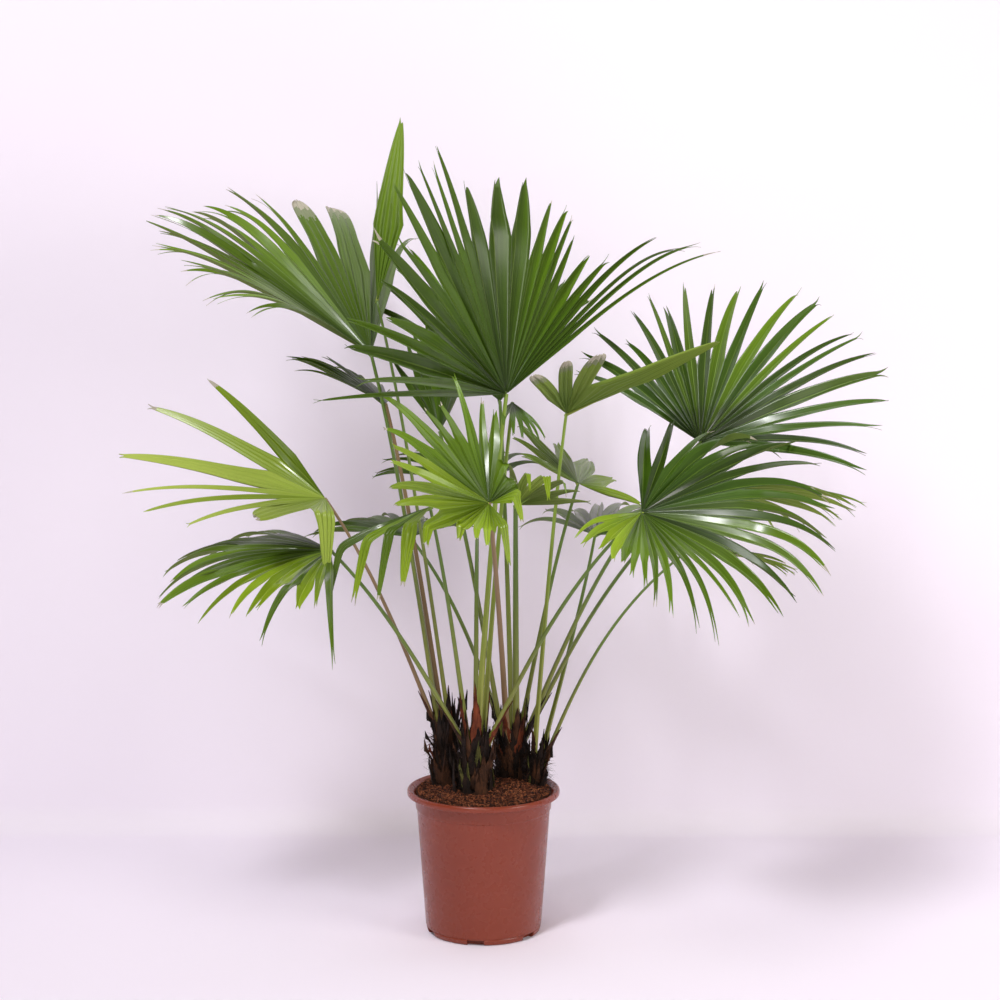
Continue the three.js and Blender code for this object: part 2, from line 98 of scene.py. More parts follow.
def coordinates(tree, kind):
    """The place on an object in metres (Object) or on its grid (UV)."""
    return add_node(tree, "ShaderNodeTexCoord").outputs[kind]


def stretched(tree, vector, scale):
    """A place scaled on each axis: high across the grain, low along it."""
    return add_node(tree, "ShaderNodeMapping", inputs={"Vector": vector, "Scale": scale}).outputs[0]


def noise(tree, vector, scale, detail, **more):
    """A noise pattern from 0 to 1, whose lumps are about 1 / scale wide."""
    inputs = {"Vector": vector, "Scale": scale, "Detail": detail, **more}
    return add_node(tree, "ShaderNodeTexNoise", inputs=inputs).outputs["Fac"]


def calculate(tree, operation, *values):
    """One calculation on numbers or sockets."""
    return add_node(tree, "ShaderNodeMath", {"operation": operation}, dict(enumerate(values))).outputs[0]


def rescale(tree, value, span, to=(0, 1)):
    """A value's run over span, turned into a run over to and held at its ends."""
    return add_node(tree, "ShaderNodeMapRange", inputs={
        "Value": value, "From Min": span[0], "From Max": span[1],
        "To Min": to[0], "To Max": to[1]}).outputs["Result"]


def paint(tree, shader, factor, low, high):
    """Base colour from low to high as factor goes from 0 to 1."""
    tint = add_node(tree, "ShaderNodeMix", {"data_type": "RGBA"}, {
        "Factor": factor, 6: linear(low), 7: linear(high)})
    tree.links.new(tint.outputs[2], shader.inputs["Base Color"])


def emboss(tree, shader, height, strength, depth):
    """Fine relief from a pattern, as if it rose by depth metres."""
    relief = add_node(tree, "ShaderNodeBump", inputs={
        "Height": height, "Strength": strength, "Distance": depth})
    tree.links.new(relief.outputs["Normal"], shader.inputs["Normal"])


def grid_quads(rows, columns, closed=False):
    """Quads of a grid of vertices whose faces point along d(row) x d(column)."""
    i, j = np.meshgrid(np.arange(rows - 1), np.arange(columns - (not closed)), indexing="ij")
    k = (j + 1) % columns
    corners = (i * columns + j, (i + 1) * columns + j, (i + 1) * columns + k, i * columns + k)
    return np.stack(corners, -1).reshape(-1, 4)


def add_piece(name, points, quads, finishes, uv=None, finish_index=None, weld=0.01):
    """A smooth mesh in metres from points in millimetres. Points nearer than weld become one."""
    mesh = bpy.data.meshes.new(name)
    mesh.from_pydata((points * MM).tolist(), [], quads.tolist())
    if uv is not None:
        layer = mesh.uv_layers.new(name="surface")
        layer.data.foreach_set("uv", uv[quads.ravel()].astype(np.float32).ravel())
    for finish in finishes:
        mesh.materials.append(finish)
    if finish_index is not None:
        mesh.polygons.foreach_set("material_index", finish_index.astype(np.int32))
    mesh.polygons.foreach_set("use_smooth", np.ones(len(quads), bool))
    if weld:
        shape = bmesh.new()
        shape.from_mesh(mesh)
        bmesh.ops.remove_doubles(shape, verts=shape.verts, dist=weld * MM)
        shape.to_mesh(mesh)
        shape.free()
    piece = bpy.data.objects.new(name, mesh)
    bpy.context.scene.collection.objects.link(piece)
    return piece


def pot_radius(z):
    """Outer radius of the wall: a straight taper from the foot to the collar."""
    top = POT_HEIGHT - POT_RIM_DEPTH
    return POT_FOOT_RADIUS + (POT_COLLAR_RADIUS - POT_FOOT_RADIUS) * z / top


def rounded(corners, steps=5):
    """A path through corners (r, z, bend), each a quadratic arc that starts and ends bend away."""
    path = [corners[0][:2]]
    for before, (r, z, bend), after in zip(corners, corners[1:-1], corners[2:]):
        corner = np.array((r, z), float)
        back, on = np.array(before[:2]) - corner, np.array(after[:2]) - corner
        start = corner + back / np.linalg.norm(back) * bend
        end = corner + on / np.linalg.norm(on) * bend
        for t in np.linspace(0, 1, steps if bend else 1):
            path.append(tuple((1 - t) ** 2 * start + 2 * t * (1 - t) * corner + t * t * end))
    path.append(corners[-1][:2])
    return np.array(path)


def turned(profile, sides):
    """A profile (r, z) turned about Z: point (r cos a, r sin a, z), with the ends closed on the axis."""
    turn = np.arange(sides) * 2 * np.pi / sides
    r, z = profile[:, :1], profile[:, 1:]
    points = np.stack([r * np.cos(turn), r * np.sin(turn), z + 0 * turn], -1).reshape(-1, 3)
    return points, grid_quads(len(profile), sides, closed=True)


pot_collar = POT_HEIGHT - POT_COLLAR_DEPTH
pot_lip = POT_HEIGHT - POT_RIM_DEPTH
# Radius, height and rounding, from the floor's middle up inside, over the rim and down outside
pot_profile = rounded([
    (0, POT_FLOOR, 0),
    (pot_radius(POT_FLOOR) - POT_WALL, POT_FLOOR, 3),
    (pot_radius(pot_lip) - POT_WALL, pot_lip, 3),
    (POT_RIM_RADIUS - 7, POT_HEIGHT - 0.2, 3.5),
    (POT_RIM_RADIUS, POT_HEIGHT, 4.2),
    (POT_RIM_RADIUS, pot_lip, 3.2),
    (pot_radius(pot_lip) + 1.2, pot_lip, 2.2),
    (pot_radius(pot_collar) + 1.0, pot_collar, 0.7),
    (pot_radius(pot_collar) - 0.6, pot_collar - 1.2, 0.7),
    (pot_radius(11) + 0.5, 11, 0.6),
    (pot_radius(9.5) - 0.8, 9.5, 0.5),
    (pot_radius(8) + 0.1, 8, 0.6),
    (POT_FOOT_RADIUS - 1, 1.6, 1.4),
    (POT_FOOT_RADIUS - 4, 0, 1.4),
    (0, 0, 0),
])
points, quads = turned(pot_profile, POT_SIDES)

# Injection-moulded polypropylene: satin, so soft lights show as broad pale bands, with a very fine
# orange peel from the mould and faint dull rubs from handling.
pot_finish, tree, shader = new_finish("moulded_polypropylene", {"Roughness": 0.3, "IOR": 1.49})
place = coordinates(tree, "Object")
paint(tree, shader, noise(tree, place, 9, 4), "#7a2e17", "#85381f")
rubs = rescale(tree, noise(tree, place, 60, 6), (0.35, 0.75), (0.24, 0.36))
tree.links.new(rubs, shader.inputs["Roughness"])
emboss(tree, shader, noise(tree, place, 700, 2), 0.12, 0.2 * MM)

pot = add_piece("pot_shell", points, quads, [pot_finish])
for i in range(DRAIN_COUNT):
    bpy.ops.mesh.primitive_cube_add(size=1)
    cutter = bpy.context.object
    turn = math.radians(DRAIN_FIRST_ANGLE + 360 * i / DRAIN_COUNT)
    cutter.scale = [side * MM for side in DRAIN_SIZE]
    cutter.rotation_euler = (0, 0, turn)
    cutter.location = (POT_FOOT_RADIUS * MM * math.cos(turn), POT_FOOT_RADIUS * MM * math.sin(turn), 0)
    cut = pot.modifiers.new("drain", "BOOLEAN")
    cut.object = cutter
    cut.operation = "DIFFERENCE"
    bpy.context.view_layer.update()
    cut_mesh = bpy.data.meshes.new_from_object(pot.evaluated_get(bpy.context.evaluated_depsgraph_get()))
    pot.modifiers.clear()
    pot.data = cut_mesh
    bpy.data.objects.remove(cutter)
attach(pot, "root")
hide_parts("pot")

# ---- Potting mix ----------------------------------------------------------------------------
# Coir and bark chips, heaped a little round the stems. A lumpy mound fills the pot's shell, and
# loose chips and short fibres lie on it at all angles.

MIX_EDGE_RADIUS = 107
MIX_EDGE = 226
MIX_HEAP = 11
MIX_FOOT_RINGS = ((102, 214), (95, 150))
MIX_ROWS = 60
MIX_COLUMNS = 180
CHIP_COUNT = 9000
CHIP_LONG = (1.6, 6.5)
CHIP_WIDE = (0.8, 2.6)
CHIP_THICK = (0.5, 1.5)
mix_random = np.random.default_rng(11)


def mix_height(x, y):
    """Height of the heap: it rises as 1 - (r / R) ** 2, with lumps from waves 50 and 15 mm long."""
    reach = np.hypot(x, y) / MIX_EDGE_RADIUS
    lumps = np.sin(x / 8.7 + 1.3 * np.sin(y / 9.1)) * np.cos(y / 7.3) + 0.5 * np.sin(x / 3.1 + y / 3.9)
    return MIX_EDGE + MIX_HEAP * np.clip(1 - reach ** 2, 0, 1) + 2.2 * lumps * np.clip(1.2 - reach, 0, 1)


ring = np.linspace(0, 1, MIX_ROWS) * MIX_EDGE_RADIUS
turn = np.arange(MIX_COLUMNS) * 2 * np.pi / MIX_COLUMNS
x, y = ring[:, None] * np.cos(turn), ring[:, None] * np.sin(turn)
top = np.stack([x, y, mix_height(x, y)], -1)
foot = [np.stack([r * np.cos(turn), r * np.sin(turn), z + 0 * turn], -1) for r, z in MIX_FOOT_RINGS]
heap = np.concatenate([top, np.stack(foot), foot[-1][None] * (0, 0, 1)])
quads = grid_quads(len(heap), MIX_COLUMNS, closed=True)

# Damp coir dust between the chips: dark, matte and crumbly.
dust, tree, shader = new_finish("damp_coir_dust", {"Roughness": 0.95, "Specular IOR Level": 0.2})
crumbs = noise(tree, coordinates(tree, "Object"), 260, 6)
paint(tree, shader, crumbs, "#140a06", "#4d2b1a")
emboss(tree, shader, crumbs, 0.9, 2 * MM)
heap_piece = add_piece("coir_heap", heap.reshape(-1, 3), quads, [dust])
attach(heap_piece, "root")
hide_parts("potting_mix")


def turned_boxes(centres, halves, turns, jitter):
    """Boxes with eight loose corners each, scaled by halves and turned by Z, X and Z angles."""
    corner = np.array([(a, b, c) for c in (-1, 1) for b in (-1, 1) for a in (-1, 1)], float)
    shape = corner[None] * halves[:, None] * (1 + jitter)
    (ca, cb, cc), (sa, sb, sc) = np.cos(turns).T, np.sin(turns).T
    zero, one = 0 * ca, 0 * ca + 1
    first = np.stack([ca, -sa, zero, sa, ca, zero, zero, zero, one], -1).reshape(-1, 3, 3)
    tilt = np.stack([one, zero, zero, zero, cb, -sb, zero, sb, cb], -1).reshape(-1, 3, 3)
    last = np.stack([cc, -sc, zero, sc, cc, zero, zero, zero, one], -1).reshape(-1, 3, 3)
    points = np.einsum("nij,nkj->nki", last @ tilt @ first, shape) + centres[:, None]
    face = np.array([(0, 2, 3, 1), (4, 5, 7, 6), (0, 1, 5, 4), (1, 3, 7, 5), (3, 2, 6, 7), (2, 0, 4, 6)])
    quads = (face[None] + 8 * np.arange(len(centres))[:, None, None]).reshape(-1, 4)
    return points.reshape(-1, 3), quads


chip_r = (MIX_EDGE_RADIUS - 3) * np.sqrt(mix_random.random(CHIP_COUNT))
chip_turn = 2 * np.pi * mix_random.random(CHIP_COUNT)
x, y = chip_r * np.cos(chip_turn), chip_r * np.sin(chip_turn)
sizes = np.stack([mix_random.uniform(*span, CHIP_COUNT) for span in (CHIP_LONG, CHIP_WIDE, CHIP_THICK)], -1)
centres = np.stack([x, y, mix_height(x, y) + mix_random.uniform(-0.3, 2.2, CHIP_COUNT)], -1)
turns = np.stack([
    mix_random.uniform(0, 2 * np.pi, CHIP_COUNT),
    mix_random.normal(0, 0.75, CHIP_COUNT),
    mix_random.uniform(0, 2 * np.pi, CHIP_COUNT)], -1)
points, quads = turned_boxes(centres, sizes / 2, turns, mix_random.uniform(-0.35, 0.2, (CHIP_COUNT, 8, 1)))

# Coir pith and bark in three shades: dull and fibrous, light ones dry on top, dark ones damp.
chip_finishes = []
for name, code in (("dry_coir", "#8f5535"), ("bark_chip", "#5f321e"), ("damp_bark", "#2d170e")):
    finish, tree, shader = new_finish(name, {
        "Base Color": linear(code), "Roughness": 0.88, "Specular IOR Level": 0.3})
    emboss(tree, shader, noise(tree, coordinates(tree, "Object"), 900, 3), 0.6, 0.6 * MM)
    chip_finishes.append(finish)
shade = np.repeat(mix_random.choice(3, CHIP_COUNT, p=(0.24, 0.44, 0.32)), 6)
chips = add_piece("coir_chips", points, quads, chip_finishes, finish_index=shade, weld=0)
chips.data.polygons.foreach_set("use_smooth", np.zeros(len(quads), bool))
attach(chips, "root")
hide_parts("potting_mix")

# ---- Fronds' table --------------------------------------------------------------------------
# One row per frond, the same named values as the solids have. Stems and stalks read it too,
# because a stalk runs from its stump to its frond's hub.

FRONDS = [dict(zip((
    "hub", "heading", "pitch", "roll", "reach", "lobes", "left", "right", "droop", "cup",
    "shorten", "fused", "stem", "slot", "stalk", "bow", "tone"), row)) for row in (
    ((36, 10, 852), 92, 86, -48, 365, 21, 90, 62, 0.08, 0.11, 0.25, 0.6, 1, 270, 5.2, 0.1, "dark"),
    ((-175, 60, 910), 155, 40, 5, 420, 18, 77, 58, 0.15, 0.55, 0.3, 0.42, 0, 165, 4.6, 0.1, "green"),
    ((-155, 115, 825), 140, 28, -15, 185, 10, 55, 60, 0.25, 0.1, 0.3, 0.45, 0, 108, 4.4, 0.1, "dark"),
    ((-70, 120, 780), 105, 75, 75, 195, 10, 45, 65, 0.1, 0.3, 0.3, 0.5, 2, 165, 4.4, 0.1, "dark"),
    ((10, -228, 718), 190, 40, 47, 195, 18, 140, 132, 0.05, 0.28, 0.5, 0.5, 2, 240, 4.8, 0.1, "lime"),
    ((50, -12, 682), -36, 25, 35, 124, 9, 36, 56, 0.15, 0.15, 0.3, 0.6, 2, 290, 5.6, 0.1, "green"),
    ((130, 70, 815), -45, 30, 0, 290, 9, 50, 60, 0.05, 0.2, 0.45, 0.52, 3, 210, 4, 0.1, "olive"),
    ((343, 100, 765), 60, 53, -10, 330, 20, 68, 95, 0.26, 0.2, 0.5, 0.4, 2, 330, 4.6, 0.25, "green"),
    ((240, -110, 686), -22, -1, -28, 330, 20, 110, 142, 0.4, 0.18, 0.4, 0.42, 1, 340, 4.8, 0.2, "lime"),
    ((347, 150, 683), 2, 0, 18, 270, 11, 50, 54, 0.38, 0, 0.35, 0.42, 2, 12, 4.4, 0.25, "olive"),
    ((322, 60, 598), -30, 5, 18, 185, 9, 35, 57, 0.4, 0.2, 0.4, 0.5, 3, 330, 3.6, 0.35, "olive"),
    ((152, 165, 690), 105, 23, -28, 165, 9, 100, 94, 0.05, 0.1, 0.3, 0.5, 2, 55, 4, 0.1, "olive"),
    ((46, 62, 833), -72, -22, 62, 92, 7, 40, 40, 0.8, 0.1, 0.4, 0.5, 1, 45, 4.2, 0.1, "dark"),
    ((-237, -4, 610), 206, -2, 8, 300, 18, 70, 80, 0.7, 0.05, 0.35, 0.45, 1, 205, 4.8, 0.12, "dark"),
    ((-246, 20, 688), 183, 25, 24, 326, 7, 110, 46, 0.15, 0.25, 0.5, 0.34, 0, 215, 4.4, 0.12, "lime"),
    ((-81, -54, 686), 209, -20, -6, 205, 6, 48, 34, 2.2, 0.05, 0.3, 0.5, 1, 150, 4.4, 0.1, "green"),
    ((-163, 22, 995), 30, 77, -60, 278, 1, 10, 10, 0.05, 0, 0.3, 0.55, 0, 40, 4.2, 0.1, "green"),
    ((-10, 155, 690), 110, 25, 0, 195, 11, 70, 62, 0.5, 0.1, 0.3, 0.45, 1, 95, 4.2, 0.2, "dark"),
    ((26, 190, 820), 112, 55, 0, 320, 11, 42, 46, 0.3, 0.1, 0.5, 0.5, 2, 90, 4.4, 0.1, "dark"),
    ((180, 175, 604), 50, 15, 0, 250, 12, 80, 70, 0.5, 0.1, 0.3, 0.45, 3, 75, 3.8, -0.2, "green"),
    ((-120, 165, 603), 118, 12, 0, 195, 12, 62, 75, 0.5, 0.1, 0.3, 0.45, 2, 129, 4.2, 0.25, "dark"),
)]
# How much longer the left lobes are than the right ones
FRONDS[0]["skew"] = 0.24
FRONDS[7]["skew"] = -0.12
UP = np.array((0.0, 0.0, 1.0))


def unit(v):
    """Vectors of length 1 in the same directions."""
    return v / np.maximum(np.linalg.norm(v, axis=-1, keepdims=True), 1e-12)


def scatter(a, b):
    """A repeatable number from -1 to 1, from the fraction of 43758.5453 sin(12.9898 a + 78.233 b)."""
    wave = np.sin(np.asarray(a, float) * 12.9898 + b * 78.233) * 43758.5453
    return 2 * (wave - np.floor(wave)) - 1


# ---- Stems ----------------------------------------------------------------------------------
# Four short stumps of old leaf bases, nearly black, fibrous and frayed. Each is cut flat where it
# meets the coir, tapers from its foot, and holds the feet of its stalks in pointed brown sheaths.

MIX_TOP = 226
STEMS = [dict(zip(("x", "y", "height", "foot", "top", "lean_x", "lean_y", "ring"), row)) for row in (
    (-60, 15, 104, 23, 16, 2, 2, 10),
    (-14, -32, 98, 31, 20, 3, 2, 13),
    (42, 50, 86, 29, 22, 4, -2, 15),
    (84, 16, 60, 13, 12, 1, 1, 7.5),
)]
STEM_TOP_ROOM = 4
STEM_LEVELS = ((0, 0.12, 0.5, 0.85, 1), (1.22, 1, 0.92, 1, 0.8))
CORE_HEIGHT_SHARE = 0.82
CORE_RADIUS_SHARE = 0.86
CORE_ROWS = 60
CORE_COLUMNS = 72
DISH_DEPTH = 14
SOCKET_DEPTH = 26
SHEATH_RISE = 0.65
SHEATH_HALF_WIDTH = 8
SHEATH_WALL = 1.0
STALK_EARLY_RISE = 1.08
STALK_LAG = 0.9
BASE_ROWS = 13
BASE_COLUMNS = 9
BASE_SPACING = 1.7
BASE_FLARE = 16
HAIRS_PER_MM = 8
HAIR_STEPS = 6
HAIR_SIDES = 3
GOLDEN_TURN = math.radians(137.5)
# Old bases that stand out from the rest: stem, angle, level on it, length, width, flare, finish
MARKED_BASES = (
    (1, -80, 0.42, 46, 14, 6, "olive_base"),
    (1, -126, 0.12, 44, 9, 8, "olive_base"),
    (1, -112, 0.20, 34, 7, 3, "olive_base"),
    (1, -72, 0.0, 42, 26, 7, "brown_sheath"),
    (1, -84, 0.76, 90, 19, 3, "rust_sheath"),
    (1, -130, 0.80, 72, 11, 9, "rust_sheath"),
    (1, -140, 0.55, 66, 12, 10, "black_fibre"),
    (1, -40, 0.30, 48, 14, 14, "brown_sheath"),
    (0, -118, 0.10, 42, 14, 9, "brown_sheath"),
    (2, -100, 0.35, 46, 16, 12, "brown_sheath"),
    (2, -62, 0.55, 50, 15, 6, "rust_sheath"),
    (3, -150, 0.05, 44, 9, 5, "olive_base"),
    (3, -20, 0.10, 52, 12, 10, "brown_sheath"),
)


def stalk_foot(frond):
    """Where a stalk starts: on its stem's ring, at its slot's angle, sunk into the stem's top."""
    stem, angle = STEMS[frond["stem"]], math.radians(frond["slot"])
    x = stem["x"] + stem["lean_x"] + stem["ring"] * math.cos(angle)
    y = stem["y"] + stem["lean_y"] + stem["ring"] * math.sin(angle)
    return np.array((x, y, MIX_TOP + stem["height"] - SOCKET_DEPTH))


def stalk_curve(frond, share):
    """A cubic Bezier from foot to hub, its knots at 1/3 and 2/3 pulled in by bow, and its tangents."""
    foot, hub = stalk_foot(frond), np.array(frond["hub"], float)
    level = 1 - frond["bow"]
    lift = (hub - foot) * (level, level, STALK_EARLY_RISE)
    knots = np.array([foot, foot + lift / 3, foot + lift * 2 / 3, hub])
    t = np.asarray(share, float)[:, None]
    point = ((1 - t) ** 3 * knots[0] + 3 * t * (1 - t) ** 2 * knots[1]
             + 3 * t * t * (1 - t) * knots[2] + t ** 3 * knots[3])
    pull = ((1 - t) ** 2 * (knots[1] - knots[0]) + 2 * t * (1 - t) * (knots[2] - knots[1])
            + t * t * (knots[3] - knots[2]))
    return point, unit(pull)


def stem_radius(stem, level):
    """The stump's outer radius at a share of its height: a straight taper times the levels' swell."""
    taper = stem["foot"] + (stem["top"] + STEM_TOP_ROOM - stem["foot"]) * level
    return taper * np.interp(level, *STEM_LEVELS)


def round_stem(stem, level, turn, radius):
    """Points x and y at a radius from the stump's leaning axis."""
    x = stem["x"] + stem["lean_x"] * level + radius * np.cos(turn)
    y = stem["y"] + stem["lean_y"] * level + radius * np.sin(turn)
    return x, y


def stem_core(stem, seed):
    """The matted core: smaller and lower than the stump, with ridges, dents and a torn, dished top."""
    level = np.linspace(0, 1, CORE_ROWS)[:, None]
    turn = (np.arange(CORE_COLUMNS) * 2 * np.pi / CORE_COLUMNS)[None]
    waves = np.sin(17 * turn + 4 * np.sin(7 * level + seed))
    ridges = 0.05 * scatter(np.round(turn * 9), seed) + 0.05 * waves
    dents = 0.07 * np.sin(3 * turn + 9 * level + seed) * np.sin(5 * turn - 13 * level)
    radius = CORE_RADIUS_SHARE * stem_radius(stem, level) * (1 + ridges + dents)
    x, y = round_stem(stem, level, turn, radius)
    torn = 1 + 0.1 * scatter(np.round(turn * 5), seed + 3) * level ** 3
    side = np.stack([x, y, MIX_TOP + 0.3 + stem["height"] * CORE_HEIGHT_SHARE * level * torn], -1)
    middle = side[-1].mean(0)
    dish = [middle + (side[-1] - middle) * (share, share, 1) - UP * DISH_DEPTH * (1 - share)
            for share in (0.8, 0.5, 0.2)]
    dish.append(0 * side[-1] + dish[-1].mean(0))
    foot = side[0] * (1, 1, 0) + (0, 0, MIX_TOP - 6)
    skin = np.concatenate([0 * foot[None] + foot.mean(0), foot[None], side, np.stack(dish)])
    return skin.reshape(-1, 3), grid_quads(len(skin), CORE_COLUMNS, closed=True)[:, ::-1]


def old_bases(foot, angle, length, width, flare, bend, seed):
    """Torn leaf bases, one per row of the arrays, as curved tongues.

    A base rises by length, stands out by flare * s ** 2, wraps round the stem with radius bend, and
    its half width is (1 - s ** 1.7) ** 0.8 of the full one. Its end is torn to a jagged edge.
    """
    s, v = np.linspace(0, 1, BASE_ROWS)[None, :, None], np.linspace(-1, 1, BASE_COLUMNS)[None, None]
    foot, angle, length, width, flare, bend = (
        np.asarray(value, float)[:, None, None] for value in (foot, angle, length, width, flare, bend))
    number = np.arange(len(angle))[:, None, None] + seed
    frayed = 1 + 0.3 * scatter(np.round(s * 12) + 5 * (v > 0), number)
    across = 0.5 * width * (1 - 0.97 * s ** 1.7) ** 0.8 * frayed * v
    jag = 0.3 * scatter(np.round(v * 5), number + 7) * s ** 3
    rise = length * s * (1 + jag)
    out = flare * s ** 2 + 1.5 * np.sin(np.pi * s) - across ** 2 / (2 * bend)
    lean = 0.12 * length * scatter(number, 3) * s ** 1.5
    outward = np.concatenate([np.cos(angle), np.sin(angle), 0 * angle], -1)[:, :, None]
    aside = np.concatenate([-np.sin(angle), np.cos(angle), 0 * angle], -1)[:, :, None]
    points = foot[:, 0][:, None] + out[..., None] * outward + (across + lean)[..., None] * aside
    points = points + rise[..., None] * UP
    cell = grid_quads(BASE_ROWS, BASE_COLUMNS)[:, ::-1]
    quads = cell[None] + BASE_ROWS * BASE_COLUMNS * np.arange(len(angle))[:, None, None]
    return points.reshape(-1, 3), quads.reshape(-1, 4)


def stalk_sheath(frond, height, seed):
    """The brown sheath behind a stalk's foot: it follows the stalk to a point and has frayed edges."""
    angle = math.radians(frond["slot"])
    outward = np.array((math.cos(angle), math.sin(angle), 0))
    aside = np.array((-outward[1], outward[0], 0))
    s, v = np.linspace(-0.35, 1, BASE_ROWS)[:, None], np.linspace(-1, 1, BASE_COLUMNS)[None]
    lift = SOCKET_DEPTH + s[:, 0] * SHEATH_RISE * height * (0.85 + 0.15 * scatter(seed, 5))
    foot = stalk_foot(frond)
    middle, _ = stalk_curve(frond, np.maximum(0, STALK_LAG * lift / (frond["hub"][2] - foot[2])))
    middle[:, 2] = foot[2] + lift
    grown = np.clip((s + 0.35) / 1.35, 0, 1)
    frayed = 1 + 0.2 * scatter(np.round(9 * s) + 5 * (v > 0), seed)
    across = SHEATH_HALF_WIDTH * (1 - 0.98 * grown ** 1.8) ** 0.9 * frayed * v
    out = frond["stalk"] + 1.2 - across ** 2 / 13 + 3 * grown ** 4
    points = middle[:, None] + out[..., None] * outward + across[..., None] * aside
    return points.reshape(-1, 3), grid_quads(BASE_ROWS, BASE_COLUMNS)[:, ::-1]


def hairs(roots, directions, lengths, radius, sag):
    """Thin three-sided fibres: each sets off straight and sags with the square of its length."""
    steps = np.linspace(0, 1, HAIR_STEPS)
    run = directions[:, None] * (lengths[:, None] * steps)[..., None]
    path = roots[:, None] + run - (sag * lengths)[:, None, None] * (steps ** 2)[None, :, None] * UP
    side = unit(np.cross(directions, UP + 0.01))
    other = unit(np.cross(directions, side))
    turn = np.arange(HAIR_SIDES) * 2 * np.pi / HAIR_SIDES
    thin = radius[:, None, None, None] * (1 - 0.85 * steps)[None, :, None, None]
    around = (np.cos(turn)[:, None] * side[:, None] + np.sin(turn)[:, None] * other[:, None])[:, None]
    points = path[:, :, None] + thin * around
    cell = grid_quads(HAIR_STEPS, HAIR_SIDES, closed=True)
    quads = cell[None] + HAIR_STEPS * HAIR_SIDES * np.arange(len(roots))[:, None, None]
    return points.reshape(-1, 3), quads.reshape(-1, 4)


# Old palm fibre: dull brown-black matting with long threads that catch a little light. The red
# and brown sheaths are younger and papery, and a few bases are still olive green.
FIBRE_SHADES = {
    "black_fibre": ("#0a0604", "#2a1a10"),
    "brown_sheath": ("#1f110a", "#54341e"),
    "rust_sheath": ("#38160c", "#7d3c20"),
    "olive_base": ("#3a3c18", "#74733a"),
}
fibre_finishes = []
for name, (dark, light) in FIBRE_SHADES.items():
    finish, tree, shader = new_finish(name, {"Roughness": 0.8, "Specular IOR Level": 0.25})
    place = coordinates(tree, "Object")
    thread = noise(tree, stretched(tree, place, (700, 700, 45)), 1, 5)
    both = calculate(tree, "MULTIPLY", thread, noise(tree, place, 55, 3))
    paint(tree, shader, rescale(tree, both, (0.12, 0.4)), dark, light)
    emboss(tree, shader, thread, 0.9, 1.5 * MM)
    fibre_finishes.append(finish)

FIBRE, BROWN, RUST, OLIVE = range(4)
stem_random = np.random.default_rng(23)
for index, stem in enumerate(STEMS):
    points, quads = stem_core(stem, index + 1)
    core = add_piece(f"stump_core_{index + 1}", points, quads, fibre_finishes[:1])

    # Rows of old bases wind up the stump; the marked ones come last
    amount = int(stem["height"] / BASE_SPACING)
    level = np.linspace(0, 0.86, amount) + stem_random.normal(0, 0.02, amount)
    angle = GOLDEN_TURN * np.arange(amount) + index
    length = stem_random.uniform(0.26, 0.62, amount) * stem["height"]
    width = stem_random.uniform(0.25, 0.8, amount) * stem_radius(stem, level)
    flare = stem_random.uniform(0, 1, amount) ** 2 * BASE_FLARE
    shade = stem_random.choice((FIBRE, BROWN, RUST, OLIVE), amount, p=(0.72, 0.24, 0.02, 0.02))
    *marked, names = zip(*(row[1:] for row in MARKED_BASES if row[0] == index))
    marked[0] = np.radians(marked[0])
    angle, level, length, width, flare = (
        np.append(wound, own) for wound, own in zip((angle, level, length, width, flare), marked))
    shade = np.append(shade, [list(FIBRE_SHADES).index(name) for name in names])
    radius = np.clip(CORE_RADIUS_SHARE * stem_radius(stem, level) + 0.5, 6, None)
    foot = np.stack([*round_stem(stem, level, angle, radius), MIX_TOP + stem["height"] * level], -1)
    points, quads = old_bases(foot, angle, length, width, flare, radius, 40 * index)
    parts, faces, shades = [points], [quads], [np.repeat(shade, len(quads) // len(shade))]
    count = len(points)
    for number, frond in enumerate(FRONDS):
        if frond["stem"] == index:
            points, quads = stalk_sheath(frond, stem["height"], number)
            parts.append(points)
            faces.append(quads + count)
            shades.append(np.full(len(quads), (RUST, BROWN, BROWN, FIBRE)[number % 4]))
            count += len(points)
    sheaths = add_piece(
        f"sheaths_{index + 1}", np.concatenate(parts), np.concatenate(faces), fibre_finishes,
        finish_index=np.concatenate(shades))
    wall = sheaths.modifiers.new("wall", "SOLIDIFY")
    wall.thickness, wall.offset = SHEATH_WALL * MM, -1

    # Loose threads: most stand up and out, some hang, and the thickest are strips of old sheath
    amount = int(HAIRS_PER_MM * stem["height"])
    turn = stem_random.uniform(0, 2 * np.pi, amount)
    level = stem_random.uniform(0.0, 1.0, amount)
    radius = 0.92 * stem_radius(stem, level)
    roots = np.stack([
        stem["x"] + radius * np.cos(turn), stem["y"] + radius * np.sin(turn),
        MIX_TOP + stem["height"] * CORE_HEIGHT_SHARE * level], -1)
    spin = turn + stem_random.normal(0, 0.7, amount)
    directions = unit(np.stack([np.cos(spin), np.sin(spin), stem_random.uniform(-0.4, 2.4, amount)], -1))
    thick = stem_random.choice((0.22, 0.4, 0.8), amount, p=(0.6, 0.3, 0.1))
    points, quads = hairs(
        roots, directions, stem_random.uniform(5, 26, amount), thick, stem_random.uniform(0, 0.6, amount))
    shade = np.repeat(stem_random.choice((FIBRE, BROWN), amount, p=(0.7, 0.3)), len(quads) // amount)
    fibres = add_piece(
        f"fibres_{index + 1}", points, quads, fibre_finishes[:2], finish_index=shade, weld=0)
    for piece in (core, sheaths, fibres):
        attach(piece, "root")
        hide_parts(f"stem_{index + 1}")

# ---- Stalks ---------------------------------------------------------------------------------
# Smooth green leaf stalks, flat or slightly hollow on the side that faces the stem's middle and
# round behind. Each rises from its sheath, tapers, leans out and runs into the hub of its fan.

